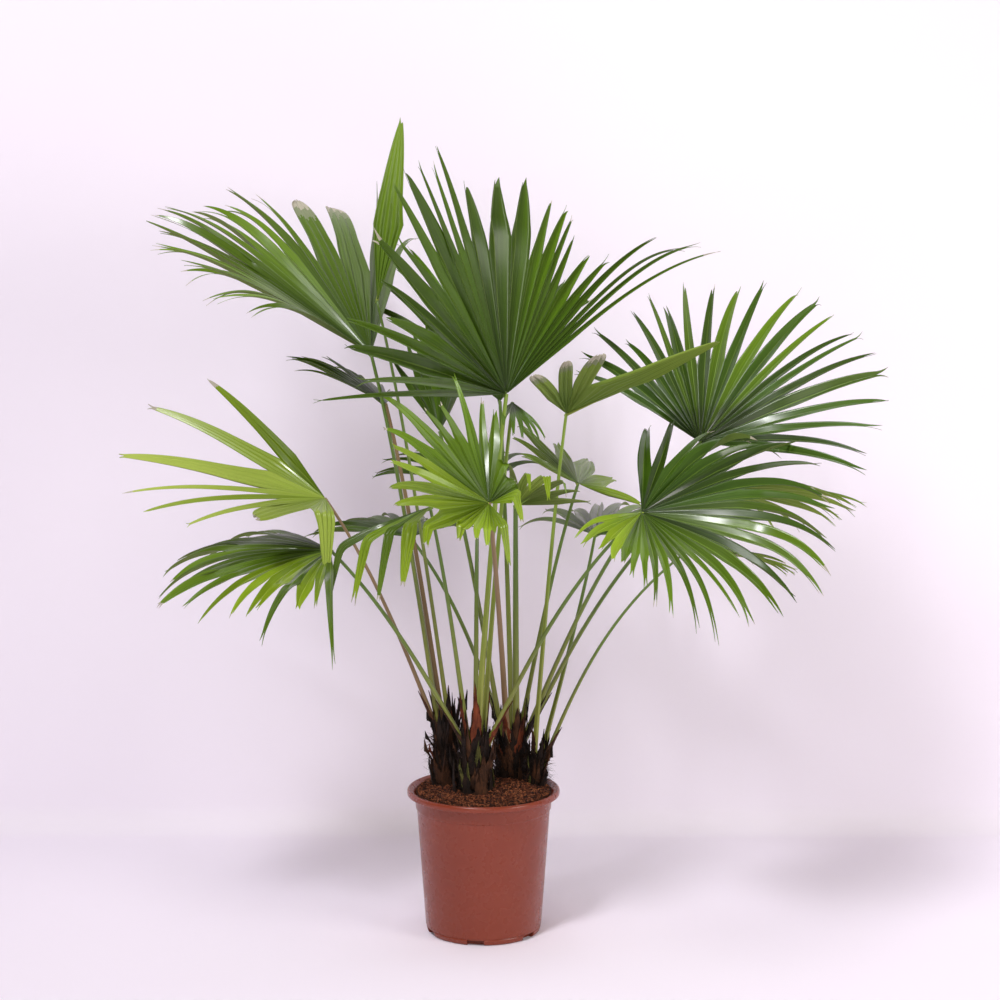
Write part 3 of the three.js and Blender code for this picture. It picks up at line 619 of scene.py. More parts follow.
STALK_TIP_SHARE = 0.62
STALK_ROWS = 48
STALK_COLUMNS = 16
FOOT_SWELL = 0.35
HOLLOW_DEPTH = 0.42
HOLLOW_ANGLE = 0.55
BROWN_STALKS = (3, 5, 15)
PALE_STALKS = (1, 7, 13)


def stalk_surface(frond):
    """A tapering circle with a shallow hollow on its upper side, carried along the stalk's curve."""
    share = np.linspace(0, 1, STALK_ROWS)
    centre, tangent = stalk_curve(frond, share)
    rise = np.array(frond["hub"], float) - stalk_foot(frond)
    across = unit(np.array((-rise[1], rise[0], 0.0)))
    side = unit(across - (tangent @ across)[:, None] * tangent)
    upper = np.cross(tangent, side)
    upper *= np.sign(upper[-1] @ UP)
    turn = np.arange(STALK_COLUMNS) * 2 * np.pi / STALK_COLUMNS
    radius = frond["stalk"] * (1 + (STALK_TIP_SHARE - 1) * share)
    radius = radius * (1 + FOOT_SWELL * np.exp(-share * 9))
    hollow = HOLLOW_DEPTH * np.exp(-((turn - np.pi / 2) / HOLLOW_ANGLE) ** 2)
    x, y = np.cos(turn), np.sin(turn) * 0.92 - hollow
    ring = radius[:, None, None] * (x[None, :, None] * side[:, None] + y[None, :, None] * upper[:, None])
    points = centre[:, None] + ring
    ends = [points[0].mean(0) + 0 * points[0], points[-1].mean(0) + 0 * points[-1]]
    points = np.concatenate([ends[0][None], points, ends[1][None]])
    quads = grid_quads(STALK_ROWS + 2, STALK_COLUMNS, closed=True)
    if np.cross(side[0], upper[0]) @ tangent[0] > 0:
        quads = quads[:, ::-1]
    length = np.concatenate([[0], share, [1]])
    uv = np.stack(np.broadcast_arrays((turn / (2 * np.pi))[None], length[:, None]), -1).reshape(-1, 2)
    return points.reshape(-1, 3), quads, uv


# The skin of a palm's leaf stalk: smooth, a little waxy and finely ribbed along its length; yellow
# and pale where it leaves its sheath and greener above.
stalk_finishes = {}
for name, low, high, rough in (
    ("stalk_green", "#7f8038", "#56702a", 0.34),
    ("stalk_brown", "#7a6040", "#826c4a", 0.4),
    ("stalk_pale", "#8b8c42", "#7c9638", 0.34),
):
    finish, tree, shader = new_finish(name, {"Roughness": rough, "IOR": 1.45})
    surface = coordinates(tree, "UV")
    streaks = noise(tree, stretched(tree, surface, (22, 3, 1)), 1, 4)
    up = add_node(tree, "ShaderNodeSeparateXYZ", inputs={0: surface}).outputs["Y"]
    greener = rescale(tree, calculate(tree, "ADD", up, streaks), (0.45, 1.2))
    paint(tree, shader, greener, low, high)
    emboss(tree, shader, streaks, 0.35, 0.4 * MM)
    stalk_finishes[name] = finish

for number, frond in enumerate(FRONDS, 1):
    slot = "stalk_brown" if number in BROWN_STALKS else "stalk_green"
    points, quads, uv = stalk_surface(frond)
    skin = "stalk_pale" if number in PALE_STALKS else slot
    stalk = add_piece(f"petiole_{number:02d}", points, quads, [stalk_finishes[skin]], uv=uv)
    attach(stalk, "root")
    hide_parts(f"stalk_{number:02d}")

# ---- Fronds ---------------------------------------------------------------------------------
# Fan leaves, stiff and pleated like a folded paper fan from the hub out to the splits, then one
# creased lobe per rib, each split again at its tip into two threads. The blade is half a
# millimetre thick, glossy above and paler and duller below, and joins its stalk at the hub.

RIB_STEPS = 48
BLADE_THICKNESS = 0.5
HUB_SHARE = 0.02
RIB_HALF_WIDTH = 0.06
RIBBED_COLUMNS = (0, RIB_HALF_WIDTH, 0.32, 0.55, 0.78, 1)
PLEATED_COLUMNS = 13
HUB_CREASE = 0.9
SPLIT_CREASE = 0.45
FULL_FOLD = 1.2
FUSED_ROWS = 14
FREE_ROWS = 26
TORN_DEPTH = 4
UV_PER_LOBE = 7
COSTA_SHARE = 0.3
COSTA_ROWS = 16
COSTA_SIDES = 10
# How each fan differs from a plain one. Dictionaries go by lobe, counted from the blade's right.
#   edges: angles of the splits in degrees, aim: where a lobe points, long: its length as a share
#   fused: share of the length up to the splits, loose: how much of it the left side loses
#   pleats: folds in one lobe, crease: how far lobes fold up past the splits, from 0 to 1
#   taper: power that narrows a lobe, fork: where its tip splits, part: how far the threads
#   spread, in lobe widths
#   sag: how much the ends bend down, bend: the same for single lobes, stray: to either side
#   twist and turn: radians that lobes turn about their ribs, by chance and all alike
#   short: unevenness, dry: share of withered tips, faded: length that withers on torn lobes
#   cut: where torn lobes end, fold: where broken lobes turn down
#   other: goes by tone instead, and names the lobes that have it
#   lobes, fused, droop, roll: take the place of the table's
PLAIN_LOOK = {
    "pleats": 1, "taper": 0.65, "fork": 0.88, "part": 0.04, "sag": 0.25, "stray": 0.12, "twist": 0.3,
    "crease": 0.5, "turn": 0, "dry": 0.3, "short": 0.08, "loose": 0, "faded": 0.36,
    "aim": {}, "bend": {}, "cut": {}, "fold": {}, "long": {}, "other": {}}
LOOKS = [PLAIN_LOOK | changes for changes in (
    {"edges": (-62, -59, -56, -53, -49, -44, -37, -31.5, -27.5, -21.5, -14.5, -3, 10.5, 19, 24, 28, 32,
               37, *range(43, 86, 6), 90), "fused": 0.66, "loose": 0.35, "sag": 0.1, "part": 0.03,
     "taper": 0.58, "short": 0.05, "bend": {0: 0.65, 1: 0.6, 2: 0.5, 3: 0.4},
     "long": {0: 2.05, 1: 2.1, 2: 1.95, 3: 1.6, 4: 1.1, 9: 0.98, 10: 0.95, 11: 0.89, 12: 0.91, 13: 1.03,
              15: 1.04, 16: 1.07, 17: 1.05, 18: 0.85, 20: 0.85, 21: 0.8, 25: 1.15}},
    {"edges": (-58, -53, -46.5, -34.5, -23, -19, *range(-15, 76, 6)), "fused": 0.52, "fork": 0.66,
     "part": 0.12, "sag": 0.45, "stray": 0.3, "dry": 0.8, "cut": {2: 0.95, 3: 0.86},
     "long": {1: 1.1, 2: 1.12}, "pleats": (1, 1, 3, 3, *(1,) * 17)},
    {"fork": 0.66, "part": 0.14, "sag": 0.3, "stray": 0.3, "dry": 0.8},
    {"fused": 0.6, "sag": 0.05},
    {"edges": (-150, -118, -84, -70, -60, -50, -40, -30, -21, -8, 4, 14, 24, 36, 50, 66, 80, 92, 104, 118,
               142), "pleats": (3, 3, 1, 1, 1, 2, 1, 1, 2, 2, 1, 1, 2, 2, 2, 2, 1, 2, 2, 3),
     "fused": 0.6, "sag": 0.3, "taper": 0.45, "stray": 0.15, "crease": 0.45, "dry": 0.6, "short": 0.14,
     "long": {0: 0.8, 1: 0.5, 2: 0.5, 4: 1.1, 5: 1.2, 8: 1.15, 15: 0.72, 16: 0.66, 17: 0.7, 18: 0.55},
     "fold": {0: 0.02, 14: 0.6, 15: 0.3, 16: 0.25, 17: 0.2, 19: 0.1}, "other": {"green": range(1, 10)}},
    {"edges": (-56, -44, -30, -14, 2, 18, 36), "fused": 0.55, "pleats": 3, "sag": 0.3, "crease": 0.2,
     "taper": 0.7, "long": {1: 1.1, 2: 1.2, 3: 1.1}, "fold": {1: 0.5, 2: 0.45, 3: 0.6},
     "other": {"lime": (1, 2)}},
    {"edges": (-60, -48, -36, -22, 50), "aim": {3: 20}, "pleats": (2, 3, 3, 8), "fused": 0.42,
     "fork": 0.97, "part": 0, "taper": 0.4, "sag": 0.05, "crease": 0.1, "stray": 0.05, "twist": 0.1,
     "cut": {0: 0.9, 1: 0.95, 2: 0.95}, "dry": 0},
    # Fan 8 is drawn in the darkest tone, painted shade over its lobes, save for the green lobes listed under
    # other
    {"edges": (-95, -84, -76, -67, -57, -47.5, -40, -34, -28.5, -22, -14, -6, 1.5, 10, 18, 24.5, 29, 34,
               40.5, 47, 53.5, 60.5, 68), "fused": 0.46, "sag": 0.15, "crease": 0.35, "taper": 0.5,
     "short": 0.05, "long": {5: 0.97, 6: 0.95, 7: 0.95, 8: 0.95, 9: 0.97, 13: 1.02, 14: 1.06, 16: 1.06,
                             17: 1.03, 18: 0.85, 19: 1.05, 20: 1.1},
     "other": {"green": (4, 8, 10, 12, 14, 16)}},
    # Fan 9's tones step from lime on its lower lobes through green to the darkest at the top: painted light
    # on the lit upper faces below and painted shade under fan 8 above, laid over the leaf's own yellow-green
    {"edges": (-142, -128, -114, -101, -89, -80, -73, -66.5, -60.5, -54.5, -49, -43.5, -38, -31, -23,
               *range(-14, 77, 9), 86, 97, 110), "fused": 0.52, "fork": 0.76, "part": 0.1, "sag": 0.5,
     "stray": 0.25, "crease": 0.6, "taper": 0.58, "dry": 0.4, "short": 0.15,
     "long": {0: 0.64, 1: 0.58, 2: 0.54, 3: 0.52, 4: 0.54, 5: 0.6, 6: 0.72, 7: 0.9, 8: 0.98, 9: 1.04,
              10: 1.22, 11: 1.02, 12: 1.02},
     "other": {"green": (*range(4, 14), 15, 16, 18), "painted_shade": (14, 17, *range(19, 28))}},
    {"lobes": 16, "fused": 0.5, "fork": 0.8, "part": 0.08, "sag": 0.3},
    {"sag": 0.3, "lobes": 12},
    {"lobes": 7, "fused": 0.6, "sag": 0.2, "short": 0.15, "pleats": 3, "crease": 0.3, "taper": 0.5,
     "other": {"lime": (0, 1)}},
    {"roll": 22, "lobes": 6, "fused": 0.55, "pleats": 2, "sag": 0.2, "crease": 0.3, "taper": 0.5},
    {"lobes": 20, "fused": 0.6, "loose": 0.2, "sag": 0.3, "dry": 0.5, "crease": 0.6, "short": 0.12,
     "fork": 0.84, "long": {13: 0.85, 14: 0.8, 15: 0.8, 16: 1.08, 17: 0.68, 18: 0.7, 19: 1.35},
     "other": {"lime": (12, 13, 14, 15, 17, 18)}},
    {"edges": (-46, -28, -4, 28, 37, 44, 54, 74, 108), "aim": {2: 17, 6: 61, 7: 95},
     "pleats": (2, 4, 4, 1, 1, 2, 4, 4), "fused": 0.33, "taper": 0.5, "fork": 0.97, "part": 0,
     "faded": 0.04, "sag": 0.1, "stray": 0.04, "twist": 0.1, "crease": 0.35, "short": 0, "dry": 0.5,
     "long": {2: 1.05, 3: 1.12, 4: 1.1, 7: 0.7}, "cut": {6: 0.5}, "fold": {7: 0.02},
     "other": {"lime": (0,)}},
    {"edges": (-34, -15, 3, 20, 46), "droop": 0.5, "fused": 0.32, "pleats": 3, "taper": 0.5,
     "crease": 0.3, "sag": 0.1, "stray": 0.05, "dry": 0.8, "turn": -1.1,
     "long": {0: 1.2, 1: 1.12, 3: 0.85}, "fold": {0: 0.45, 1: 0.28, 2: 0.12, 3: 0},
     "other": {"lime": (1, 3)}},
    {"edges": (-8, 14), "pleats": 4, "fused": 0.4, "taper": 0.62, "fork": 0.96, "part": 0.01, "sag": 0,
     "stray": 0, "twist": 0, "crease": 0.3, "short": 0, "dry": 0},
    {"fused": 0.5, "sag": 0.2},
    {"fused": 0.5, "sag": 0.2},
    {"fused": 0.5, "sag": 0.3},
    {"fused": 0.5, "sag": 0.3},
)]
TURNED_OTHERWISE = ("droop", "roll")


def blade_axes(frond):
    """Along the middle rib, to its left, and out of the upper face, from heading, pitch and roll."""
    heading, pitch, roll = np.radians([frond["heading"], frond["pitch"], frond["roll"]])
    along = np.array((np.cos(pitch) * np.cos(heading), np.cos(pitch) * np.sin(heading), np.sin(pitch)))
    level = unit(UP - along[2] * along)
    side = np.cross(level, along)
    return along, np.cos(roll) * side - np.sin(roll) * level, np.cos(roll) * level + np.sin(roll) * side


def rib_paths(frond, angles, reaches, seed):
    """Ribs from the hub: each sets off in the cupped fan's plane and droops with its length squared."""
    along, left, face = blade_axes(frond)
    c, s = np.cos(angles)[:, None], np.sin(angles)[:, None]
    start = unit(c * along + s * left + frond["cup"] * (1 - c) * face)
    t = (np.arange(RIB_STEPS) + 0.5) / RIB_STEPS
    droop = frond["droop"] * (1 + 0.25 * scatter(3 * angles, seed))
    step = unit(start[:, None] - (droop[:, None] * t ** 2)[..., None] * UP)
    run = np.cumsum(step * (reaches / RIB_STEPS)[:, None, None], axis=1)
    hub = np.array(frond["hub"], float)
    return hub + np.concatenate([np.zeros((len(angles), 1, 3)), run], axis=1)


def along_paths(paths, share):
    """Points at these shares of each path's length, read straight between its steps."""
    place = np.clip(share, 0, 1) * (paths.shape[1] - 1)
    i = np.minimum(place.astype(int), paths.shape[1] - 2)
    f = (place - i)[..., None]
    row = np.arange(len(paths))[:, None]
    return paths[row, i] * (1 - f) + paths[row, i + 1] * f


def tangents(paths, share):
    """Directions of the paths at these shares of their length."""
    return unit(along_paths(paths, share + 0.02) - along_paths(paths, share - 0.02))


def by_lobe(values, lobes, otherwise):
    """A dictionary of lobe number to value, as one number per lobe."""
    out = np.full(lobes, float(otherwise))
    for lobe, value in values.items():
        out[lobe] = value
    return out


def fan_layout(frond, look, seed):
    """Angles of the lobes and splits, how far each lobe reaches, and the fused shares of both.

    A rib runs up to an eighth of its lobe's angle off the middle. Lobes get shorter to the sides,
    longer on the skewed side, and a little uneven. A lobe that is longer than its neighbours is
    fused no further out than they are.
    """
    if "edges" in look:
        bounds = np.radians(np.array(look["edges"], float))
    else:
        lobes = look.get("lobes", frond["lobes"])
        bounds = np.radians(np.linspace(-frond["right"], frond["left"], lobes + 1))
    middle = (bounds[1:] + bounds[:-1]) / 2
    for lobe, angle in look["aim"].items():
        middle[lobe] = math.radians(angle)
    index = np.arange(len(middle))
    long = by_lobe(look["long"], len(middle), 1)
    middle = middle + 0.12 * np.diff(bounds) * scatter(index + 71, seed)
    shape = 1 - frond["shorten"] * (1 - np.cos(middle)) / 2
    shape = shape * (1 + frond.get("skew", 0) * np.sin(middle))
    uneven = 1 + 0.03 * scatter(index + 1, seed) - look["short"] * np.abs(scatter(index + 61, seed))
    reaches = frond["reach"] * shape * long * uneven
    lower = np.minimum(np.append(long[0], long), np.append(long, long[-1]))

    def fused_share(angles):
        to_left = np.clip(angles / bounds[-1], 0, 1)
        share = look.get("fused", frond["fused"]) * (1 - 0.225 * (1 - np.cos(angles)))
        return share * (1 - look["loose"] * to_left)

    split = fused_share(bounds) / lower * (1 + 0.1 * scatter(np.arange(len(bounds)) + 5, seed))
    return bounds, middle, reaches, fused_share(middle) / long, split


def bent(centre, look, seed, s):
    """Lobes' middle lines past the splits, bent from the plain ribs.

    Each step's direction gets a share of straight down, growing as s ** 2, and a share to the side.
    A broken lobe turns to hang down from its fold on. Steps keep their lengths.
    """
    lobes = len(centre)
    lobe = np.arange(lobes)[:, None]
    step = np.diff(centre, axis=1)
    length = np.linalg.norm(step, axis=-1, keepdims=True)
    course = step / length
    mid = (s[1:] + s[:-1])[None] / 2
    sag = by_lobe(look["bend"], lobes, look["sag"])[:, None]
    sag = sag * (1 + 0.8 * scatter(lobe + 29, seed) * (sag < 0.9)) * mid ** 2
    stray = look["stray"] * scatter(lobe + 37, seed) * mid
    fold = by_lobe(look["fold"], lobes, 2)[:, None]
    hang = np.clip((mid - fold) / 0.12, 0, 1)
    flat = course * (0.3, 0.3, 0)
    aside = unit(np.cross(course, UP))
    course = course * (1 - hang)[..., None] + (flat - UP) * hang[..., None]
    course = unit(course - sag[..., None] * UP + stray[..., None] * aside)
    return np.concatenate([centre[:, :1], centre[:, :1] + np.cumsum(course * length, axis=1)], axis=1)


def centre_frame(ribs, fused, across):
    """Unit vectors to the left of each rib at its split, at right angles to it."""
    tangent = tangents(ribs, fused[:, None])
    return np.cross(unit(np.cross(tangent, across)), tangent)


def lobe_outline(look, base_width, s, cut, seed):
    """Middle and half width of each half lobe past the splits, and how far it is past its fork.

    A lobe's half width falls as (1 - s) ** taper. Past the fork each half narrows to a point of
    its own and moves off the rib. A torn lobe keeps its width and ends blunt, as 1 - 0.93 q ** 7
    under a root.
    """
    lobe = np.arange(len(base_width))[:, None]
    fork = np.minimum(look["fork"] + 0.05 * scatter(lobe + 11, seed), 0.97)
    half = 0.5 * base_width * (1 - s) ** look["taper"]
    q = s / cut
    half = np.where(cut < 1, 0.5 * base_width * (1 + 0.1 * q) * np.sqrt(1 - 0.93 * q ** 7), half)
    fork = np.where(cut < 1, 2, fork)
    at_fork = 0.5 * base_width * np.maximum(1 - fork, 0) ** look["taper"]
    past = np.clip((s - fork) / np.abs(1 - fork), 0, 1)
    strand = np.where(s < fork, half / 2, at_fork / 2 * (1 - past) ** 0.8)
    parting = look["part"] * base_width * (1 + 0.6 * scatter(lobe + 17, seed)) * past ** 1.5
    return np.where(s < fork, half / 2, at_fork / 2 + parting), strand, past


def half_lobes(points, outwards, v):
    """Points of whole lobes as one grid per half lobe: points, quads, UV, and each cell's row and column."""
    lobes, rows = outwards.shape
    columns = len(v) // 2
    halves = points.reshape(lobes, rows, 2, columns, 3).transpose(0, 2, 1, 3, 4).reshape(-1, 3)
    cell = grid_quads(rows, columns)
    quads = (cell[None] + rows * columns * np.arange(2 * lobes)[:, None, None]).reshape(-1, 4)
    u = ((v + 1) / 2 + UV_PER_LOBE * np.arange(lobes)[:, None])[:, None]
    uv = np.stack(np.broadcast_arrays(u, outwards[..., None]), -1)
    uv = uv.reshape(lobes, rows, 2, columns, 2).transpose(0, 2, 1, 3, 4).reshape(-1, 2)
    return halves, quads, uv, np.divmod(np.arange(len(cell)), columns - 1)


def fan(frond, look, seed):
    """The upper face as half lobes on a grid of rows out from the hub and columns across.

    Up to the splits a row runs straight between two neighbouring split ribs and is folded down
    at the rib. Past them each lobe twists, sags and folds up further about its rib.
    """
    bounds, middle, reaches, fused, split = fan_layout(frond, look, seed)
    lobes = len(middle)
    lobe = np.arange(lobes)[:, None]
    pleats = np.broadcast_to(look["pleats"], lobes)[:, None, None]
    edge_reach = np.minimum(np.append(reaches[0], reaches), np.append(reaches, reaches[-1]))
    ribs, edges = rib_paths(frond, middle, reaches, seed), rib_paths(frond, bounds, edge_reach, seed)

    v = np.array(RIBBED_COLUMNS) if np.max(pleats) == 1 else np.linspace(0, 1, PLEATED_COLUMNS)
    sign = np.repeat((-1, 1), len(v))
    v = np.concatenate([-v[::-1], v])
    zigzag = 1 - np.abs(2 * np.mod((v + 1) / 2 * pleats, 1) - 1)
    fold_drop = np.where(pleats == 1, 1 - np.abs(v), zigzag / np.maximum(pleats * 0.55, 1))

    # The fused part
    u = np.linspace(HUB_SHARE, 1, FUSED_ROWS)
    inner = fused[:, None] * u
    centre = along_paths(ribs, inner)
    edge = along_paths(edges, split[:, None] * u)
    right, left = edge[:-1], edge[1:]
    width = np.linalg.norm(left - right, axis=-1)
    across = unit(left - right)
    normal = unit(np.cross(tangents(ribs, inner), across))
    side = np.where(sign[:, None] < 0, right[:, :, None], left[:, :, None])
    joined = centre[:, :, None] + (side - centre[:, :, None]) * np.abs(v)[:, None]
    crease = HUB_CREASE + (SPLIT_CREASE - HUB_CREASE) * u
    joined -= (fold_drop * (0.5 * crease * width)[..., None])[..., None] * normal[:, :, None]

    # The free lobes, each with its own frame along its bent middle line
    cut = by_lobe(look["cut"], lobes, 1)[:, None]
    grid = np.linspace(0, 1, FREE_ROWS + 1) ** 0.9
    outer = fused[:, None] + (1 - fused[:, None]) * grid * cut
    centre = bent(along_paths(ribs, outer), look, seed, grid)
    tangent = unit(np.gradient(centre, axis=1))[:, 1:]
    centre, s = centre[:, 1:], grid[1:] * cut
    base_width = width[:, -1:]
    normal = unit(np.cross(tangent, across[:, -1:]))
    sideways = np.cross(normal, tangent)
    twist = look["twist"] * scatter(lobe + 3, seed) * s ** 1.3 + look["turn"] * np.clip(s / 0.5, 0, 1)
    aside = sideways * np.cos(twist)[..., None] + normal * np.sin(twist)[..., None]
    normal = normal * np.cos(twist)[..., None] - sideways * np.sin(twist)[..., None]
    middle_of_half, strand, past = lobe_outline(look, base_width, s, cut, seed)
    from_rib = middle_of_half[..., None] + strand[..., None] * (2 * np.abs(v) - 1)
    rim = (middle_of_half + strand)[..., None]
    at_split = math.atan(SPLIT_CREASE)
    folded = look["crease"] * (0.65 + 0.35 * scatter(lobe + 23, seed)) * np.clip(s / 0.35, 0, 1)
    angle = (at_split + (FULL_FOLD - at_split) * folded)[..., None]
    out = from_rib * np.cos(angle) / math.cos(at_split)
    single = (rim - from_rib) * np.sin(angle) / math.cos(at_split)
    dip = np.where(pleats == 1, single, fold_drop * SPLIT_CREASE * rim)
    free = centre[:, :, None] + (sign * out)[..., None] * aside[:, :, None]
    free -= dip[..., None] * normal[:, :, None]
    # A torn end is ragged: its last rows are pulled in and out along the lobe
    torn = np.where(cut < 1, 1.0, 0)[..., None] * np.clip((s / cut - 0.9) / 0.1, 0, 1)[..., None]
    pull = torn * TORN_DEPTH * scatter(np.round(v * 7) + 9 * lobe[..., None], seed)
    free += pull[..., None] * tangent[:, :, None]
    # The two edges leave the splits where the neighbours do
    first = centre_frame(ribs, fused, across[:, -1:])
    shift = side[:, -1] - (along_paths(ribs, fused[:, None]) + (sign * base_width / 2)[..., None] * first)
    blend = np.clip(1 - s / 0.3, 0, 1) ** 2
    free += (blend[..., None] * np.abs(v))[..., None] * shift[:, None]
    # One thread of a fork sags more than the other
    uneven = 0.02 * reaches[:, None] * past ** 2 * scatter(lobe + 31, seed)
    free -= (uneven[..., None] * sign)[..., None] * UP
    return half_lobes(np.concatenate([joined, free], axis=1), np.hstack([inner, outer[:, 1:]]), v)


# Leaf blade: a waxy cuticle over soft green tissue. The cuticle gives white streaks along the
# folds. Its parallel veins show as a fine grain, drawn a little coarser than real ones, which are
# under a millimetre apart. Below, the blade is greyer and has hardly any wax.
def leaf_finish(name, shade, tip_shade, rough, coat, veins=16):
    """Shade at the hub to tip_shade at the tip, striped along the veins and different by lobe."""
    finish, tree, shader = new_finish(name, {
        "Roughness": rough, "Specular IOR Level": 0.12,
        "Coat Weight": coat, "Coat Roughness": 0.2, "Coat IOR": 1.5})
    surface = coordinates(tree, "UV")
    stripes = noise(tree, stretched(tree, surface, (veins, 1.2, 1)), 1, 4, Roughness=0.6)
    apart = add_node(tree, "ShaderNodeSeparateXYZ", inputs={0: surface})
    lobe = calculate(tree, "ROUND", calculate(tree, "DIVIDE", apart.outputs["X"], UV_PER_LOBE))
    chance = add_node(tree, "ShaderNodeTexWhiteNoise", {"noise_dimensions": "1D"}, {"W": lobe})
    shift = calculate(tree, "MULTIPLY_ADD", chance.outputs["Value"], 0.5, apart.outputs["Y"])
    mixed = calculate(tree, "MULTIPLY_ADD", stripes, 1.6, shift)
    # Darker towards the hub: partly painted shade where the fans crowd in the crown's middle, and the
    # yellower tip partly the leaf's own colour
    paint(tree, shader, rescale(tree, mixed, (0.9, 2.3)), shade, tip_shade)
    emboss(tree, shader, stripes, 0.4, 0.8 * MM)
    return finish


# Two shades of blade as (hub, tip), the ribs' shade, the underside as (hub, tip), and the gloss. The dark
# hub ends are partly painted shade.
LEAF_TONES = {
    "dark": (("#233805", "#4a680c"), ("#2b4504", "#597b0e"), "#587028", ("#3c4d18", "#5c7030"), 0.45),
    # The darkest tone, a darker copy of green, is painted shade for lobes that lie in shade
    "painted_shade": (("#162902", "#3d590c"), ("#203804", "#4a6d12"), "#587028", ("#3c4d18", "#5c7030"), 1.0),
    "green": (("#263c05", "#5c7a14"), ("#30480a", "#70921c"), "#6c8834", ("#4a5e1e", "#768648"), 0.7),
    "lime": (("#46600a", "#88a21e"), ("#567310", "#98b42a"), "#96aa42", ("#5f7a20", "#92a64c"), 0.5),
    "pale": (("#829a34", "#9fb347"), ("#90a93c", "#b1c25c"), "#b4c06e", ("#7c9038", "#98a652"), 0.7),
    "olive": (("#384e10", "#68801e"), ("#42600e", "#789628"), "#8a9848", ("#4c661e", "#849a40"), 0.7),
}
DRY_SHADES = ("#969078", "#bab6a4")
blade_sets = {}
for tone, (plain, fresh, rib, below, gloss) in LEAF_TONES.items():
    blade_sets[tone] = [
        leaf_finish(f"leaf_{tone}_wax", *plain, 0.34, gloss),
        leaf_finish(f"leaf_{tone}_fresh", *fresh, 0.32, gloss),
        leaf_finish(f"rib_{tone}", rib, rib, 0.4, 0.2, 8),
        leaf_finish(f"dry_tip_{tone}", *DRY_SHADES, 0.8, 0.0),
        leaf_finish(f"faded_{tone}", "#5c6c38", "#8c9474", 0.6, 0.2),
        leaf_finish(f"leaf_{tone}_below", *below, 0.6, 0.0),
        leaf_finish(f"leaf_{tone}_below_fresh", *below, 0.55, 0.0),
        leaf_finish(f"rib_{tone}_below", rib, rib, 0.6, 0.0, 8),
        leaf_finish(f"dry_tip_{tone}_below", *DRY_SHADES, 0.85, 0.0),
        leaf_finish(f"faded_{tone}_below", "#6c7848", "#8c9474", 0.7, 0.0),
    ]
# A set holds the upper side's finishes in this order, then as many for the underside
PLAIN, FRESH, RIB, DRY, FADED = range(5)
FINISHES_ABOVE = 5
# Fans drawn in another tone than their row of the table, which still names their slot. Fan 8's darkest tone
# is painted shade.
RETONED = {8: "painted_shade", 14: "green", 15: "pale", 16: "green", 17: "olive"}


def costa(frond, look, seed):
    """The stalk's end under the blade: a tube along the middle rib that tapers to a point."""
    bounds, middle, reaches, _, _ = fan_layout(frond, look, seed)
    nearest = np.argmin(np.abs(middle))
    rib = rib_paths(frond, middle[nearest:nearest + 1], reaches[nearest:nearest + 1], seed)
    share = np.linspace(-0.015, COSTA_SHARE, COSTA_ROWS)
    along, left, face = blade_axes(frond)
    path = along_paths(rib, np.maximum(share, 0)[None])[0]
    path = path + np.minimum(share, 0)[:, None] * frond["reach"] * along
    radius = STALK_TIP_SHARE * frond["stalk"] * (1 - np.clip(share, 0, 1) / 0.32) ** 1.2
    angle = bounds[nearest + 1] - bounds[nearest]
    pleat = 0.5 * HUB_CREASE * angle * frond["reach"] * np.maximum(share, 0)
    path = path - (0.8 * radius + BLADE_THICKNESS + pleat / np.max(look["pleats"]))[:, None] * face
    turn = np.arange(COSTA_SIDES) * 2 * np.pi / COSTA_SIDES
    ring = np.cos(turn)[:, None] * left + np.sin(turn)[:, None] * face
    points = path[:, None] + radius[:, None, None] * ring[None]
    closed = np.concatenate([points[:1].mean(1, keepdims=True) + 0 * points[:1], points])
    return closed.reshape(-1, 3), grid_quads(len(closed), COSTA_SIDES, closed=True)


def blade_shades(look, lobe, cell_row, cell_column, seed):
    """Which finish each face has: plain or fresh by lobe, then the rib's stripe and withered ends.

    A torn lobe fades over the last of its length, and the outer 0.55 of that is dry.
    """
    lobes = lobe[-1] + 1
    half = np.tile(np.repeat((0, 1), len(cell_row)), lobes)
    row, column = np.tile(cell_row, 2 * lobes), np.tile(cell_column, 2 * lobes)
    shade = np.where(scatter(lobe + 41, seed) > 0.1, FRESH, PLAIN)
    if np.max(look["pleats"]) == 1:
        at_rib = np.where(half == 0, column == column.max(), column == 0)
        shade = np.where(at_rib & (row < FUSED_ROWS + 0.6 * FREE_ROWS), RIB, shade)
    dry_from = FUSED_ROWS + FREE_ROWS * (0.93 - 0.1 * np.abs(scatter(lobe + 43, seed)))
    is_dry = (scatter(lobe + 47, seed) * 0.5 + 0.5 < look["dry"]) & (row > dry_from)
    torn = np.isin(lobe, list(look["cut"]))
    withered = torn * (row + 1.2 * scatter(column + 9 * lobe, seed) - FUSED_ROWS) / FREE_ROWS
    shade = np.where(withered > 1 - look["faded"], FADED, shade)
    return np.where(is_dry | (withered > 1 - 0.55 * look["faded"]), DRY, shade)


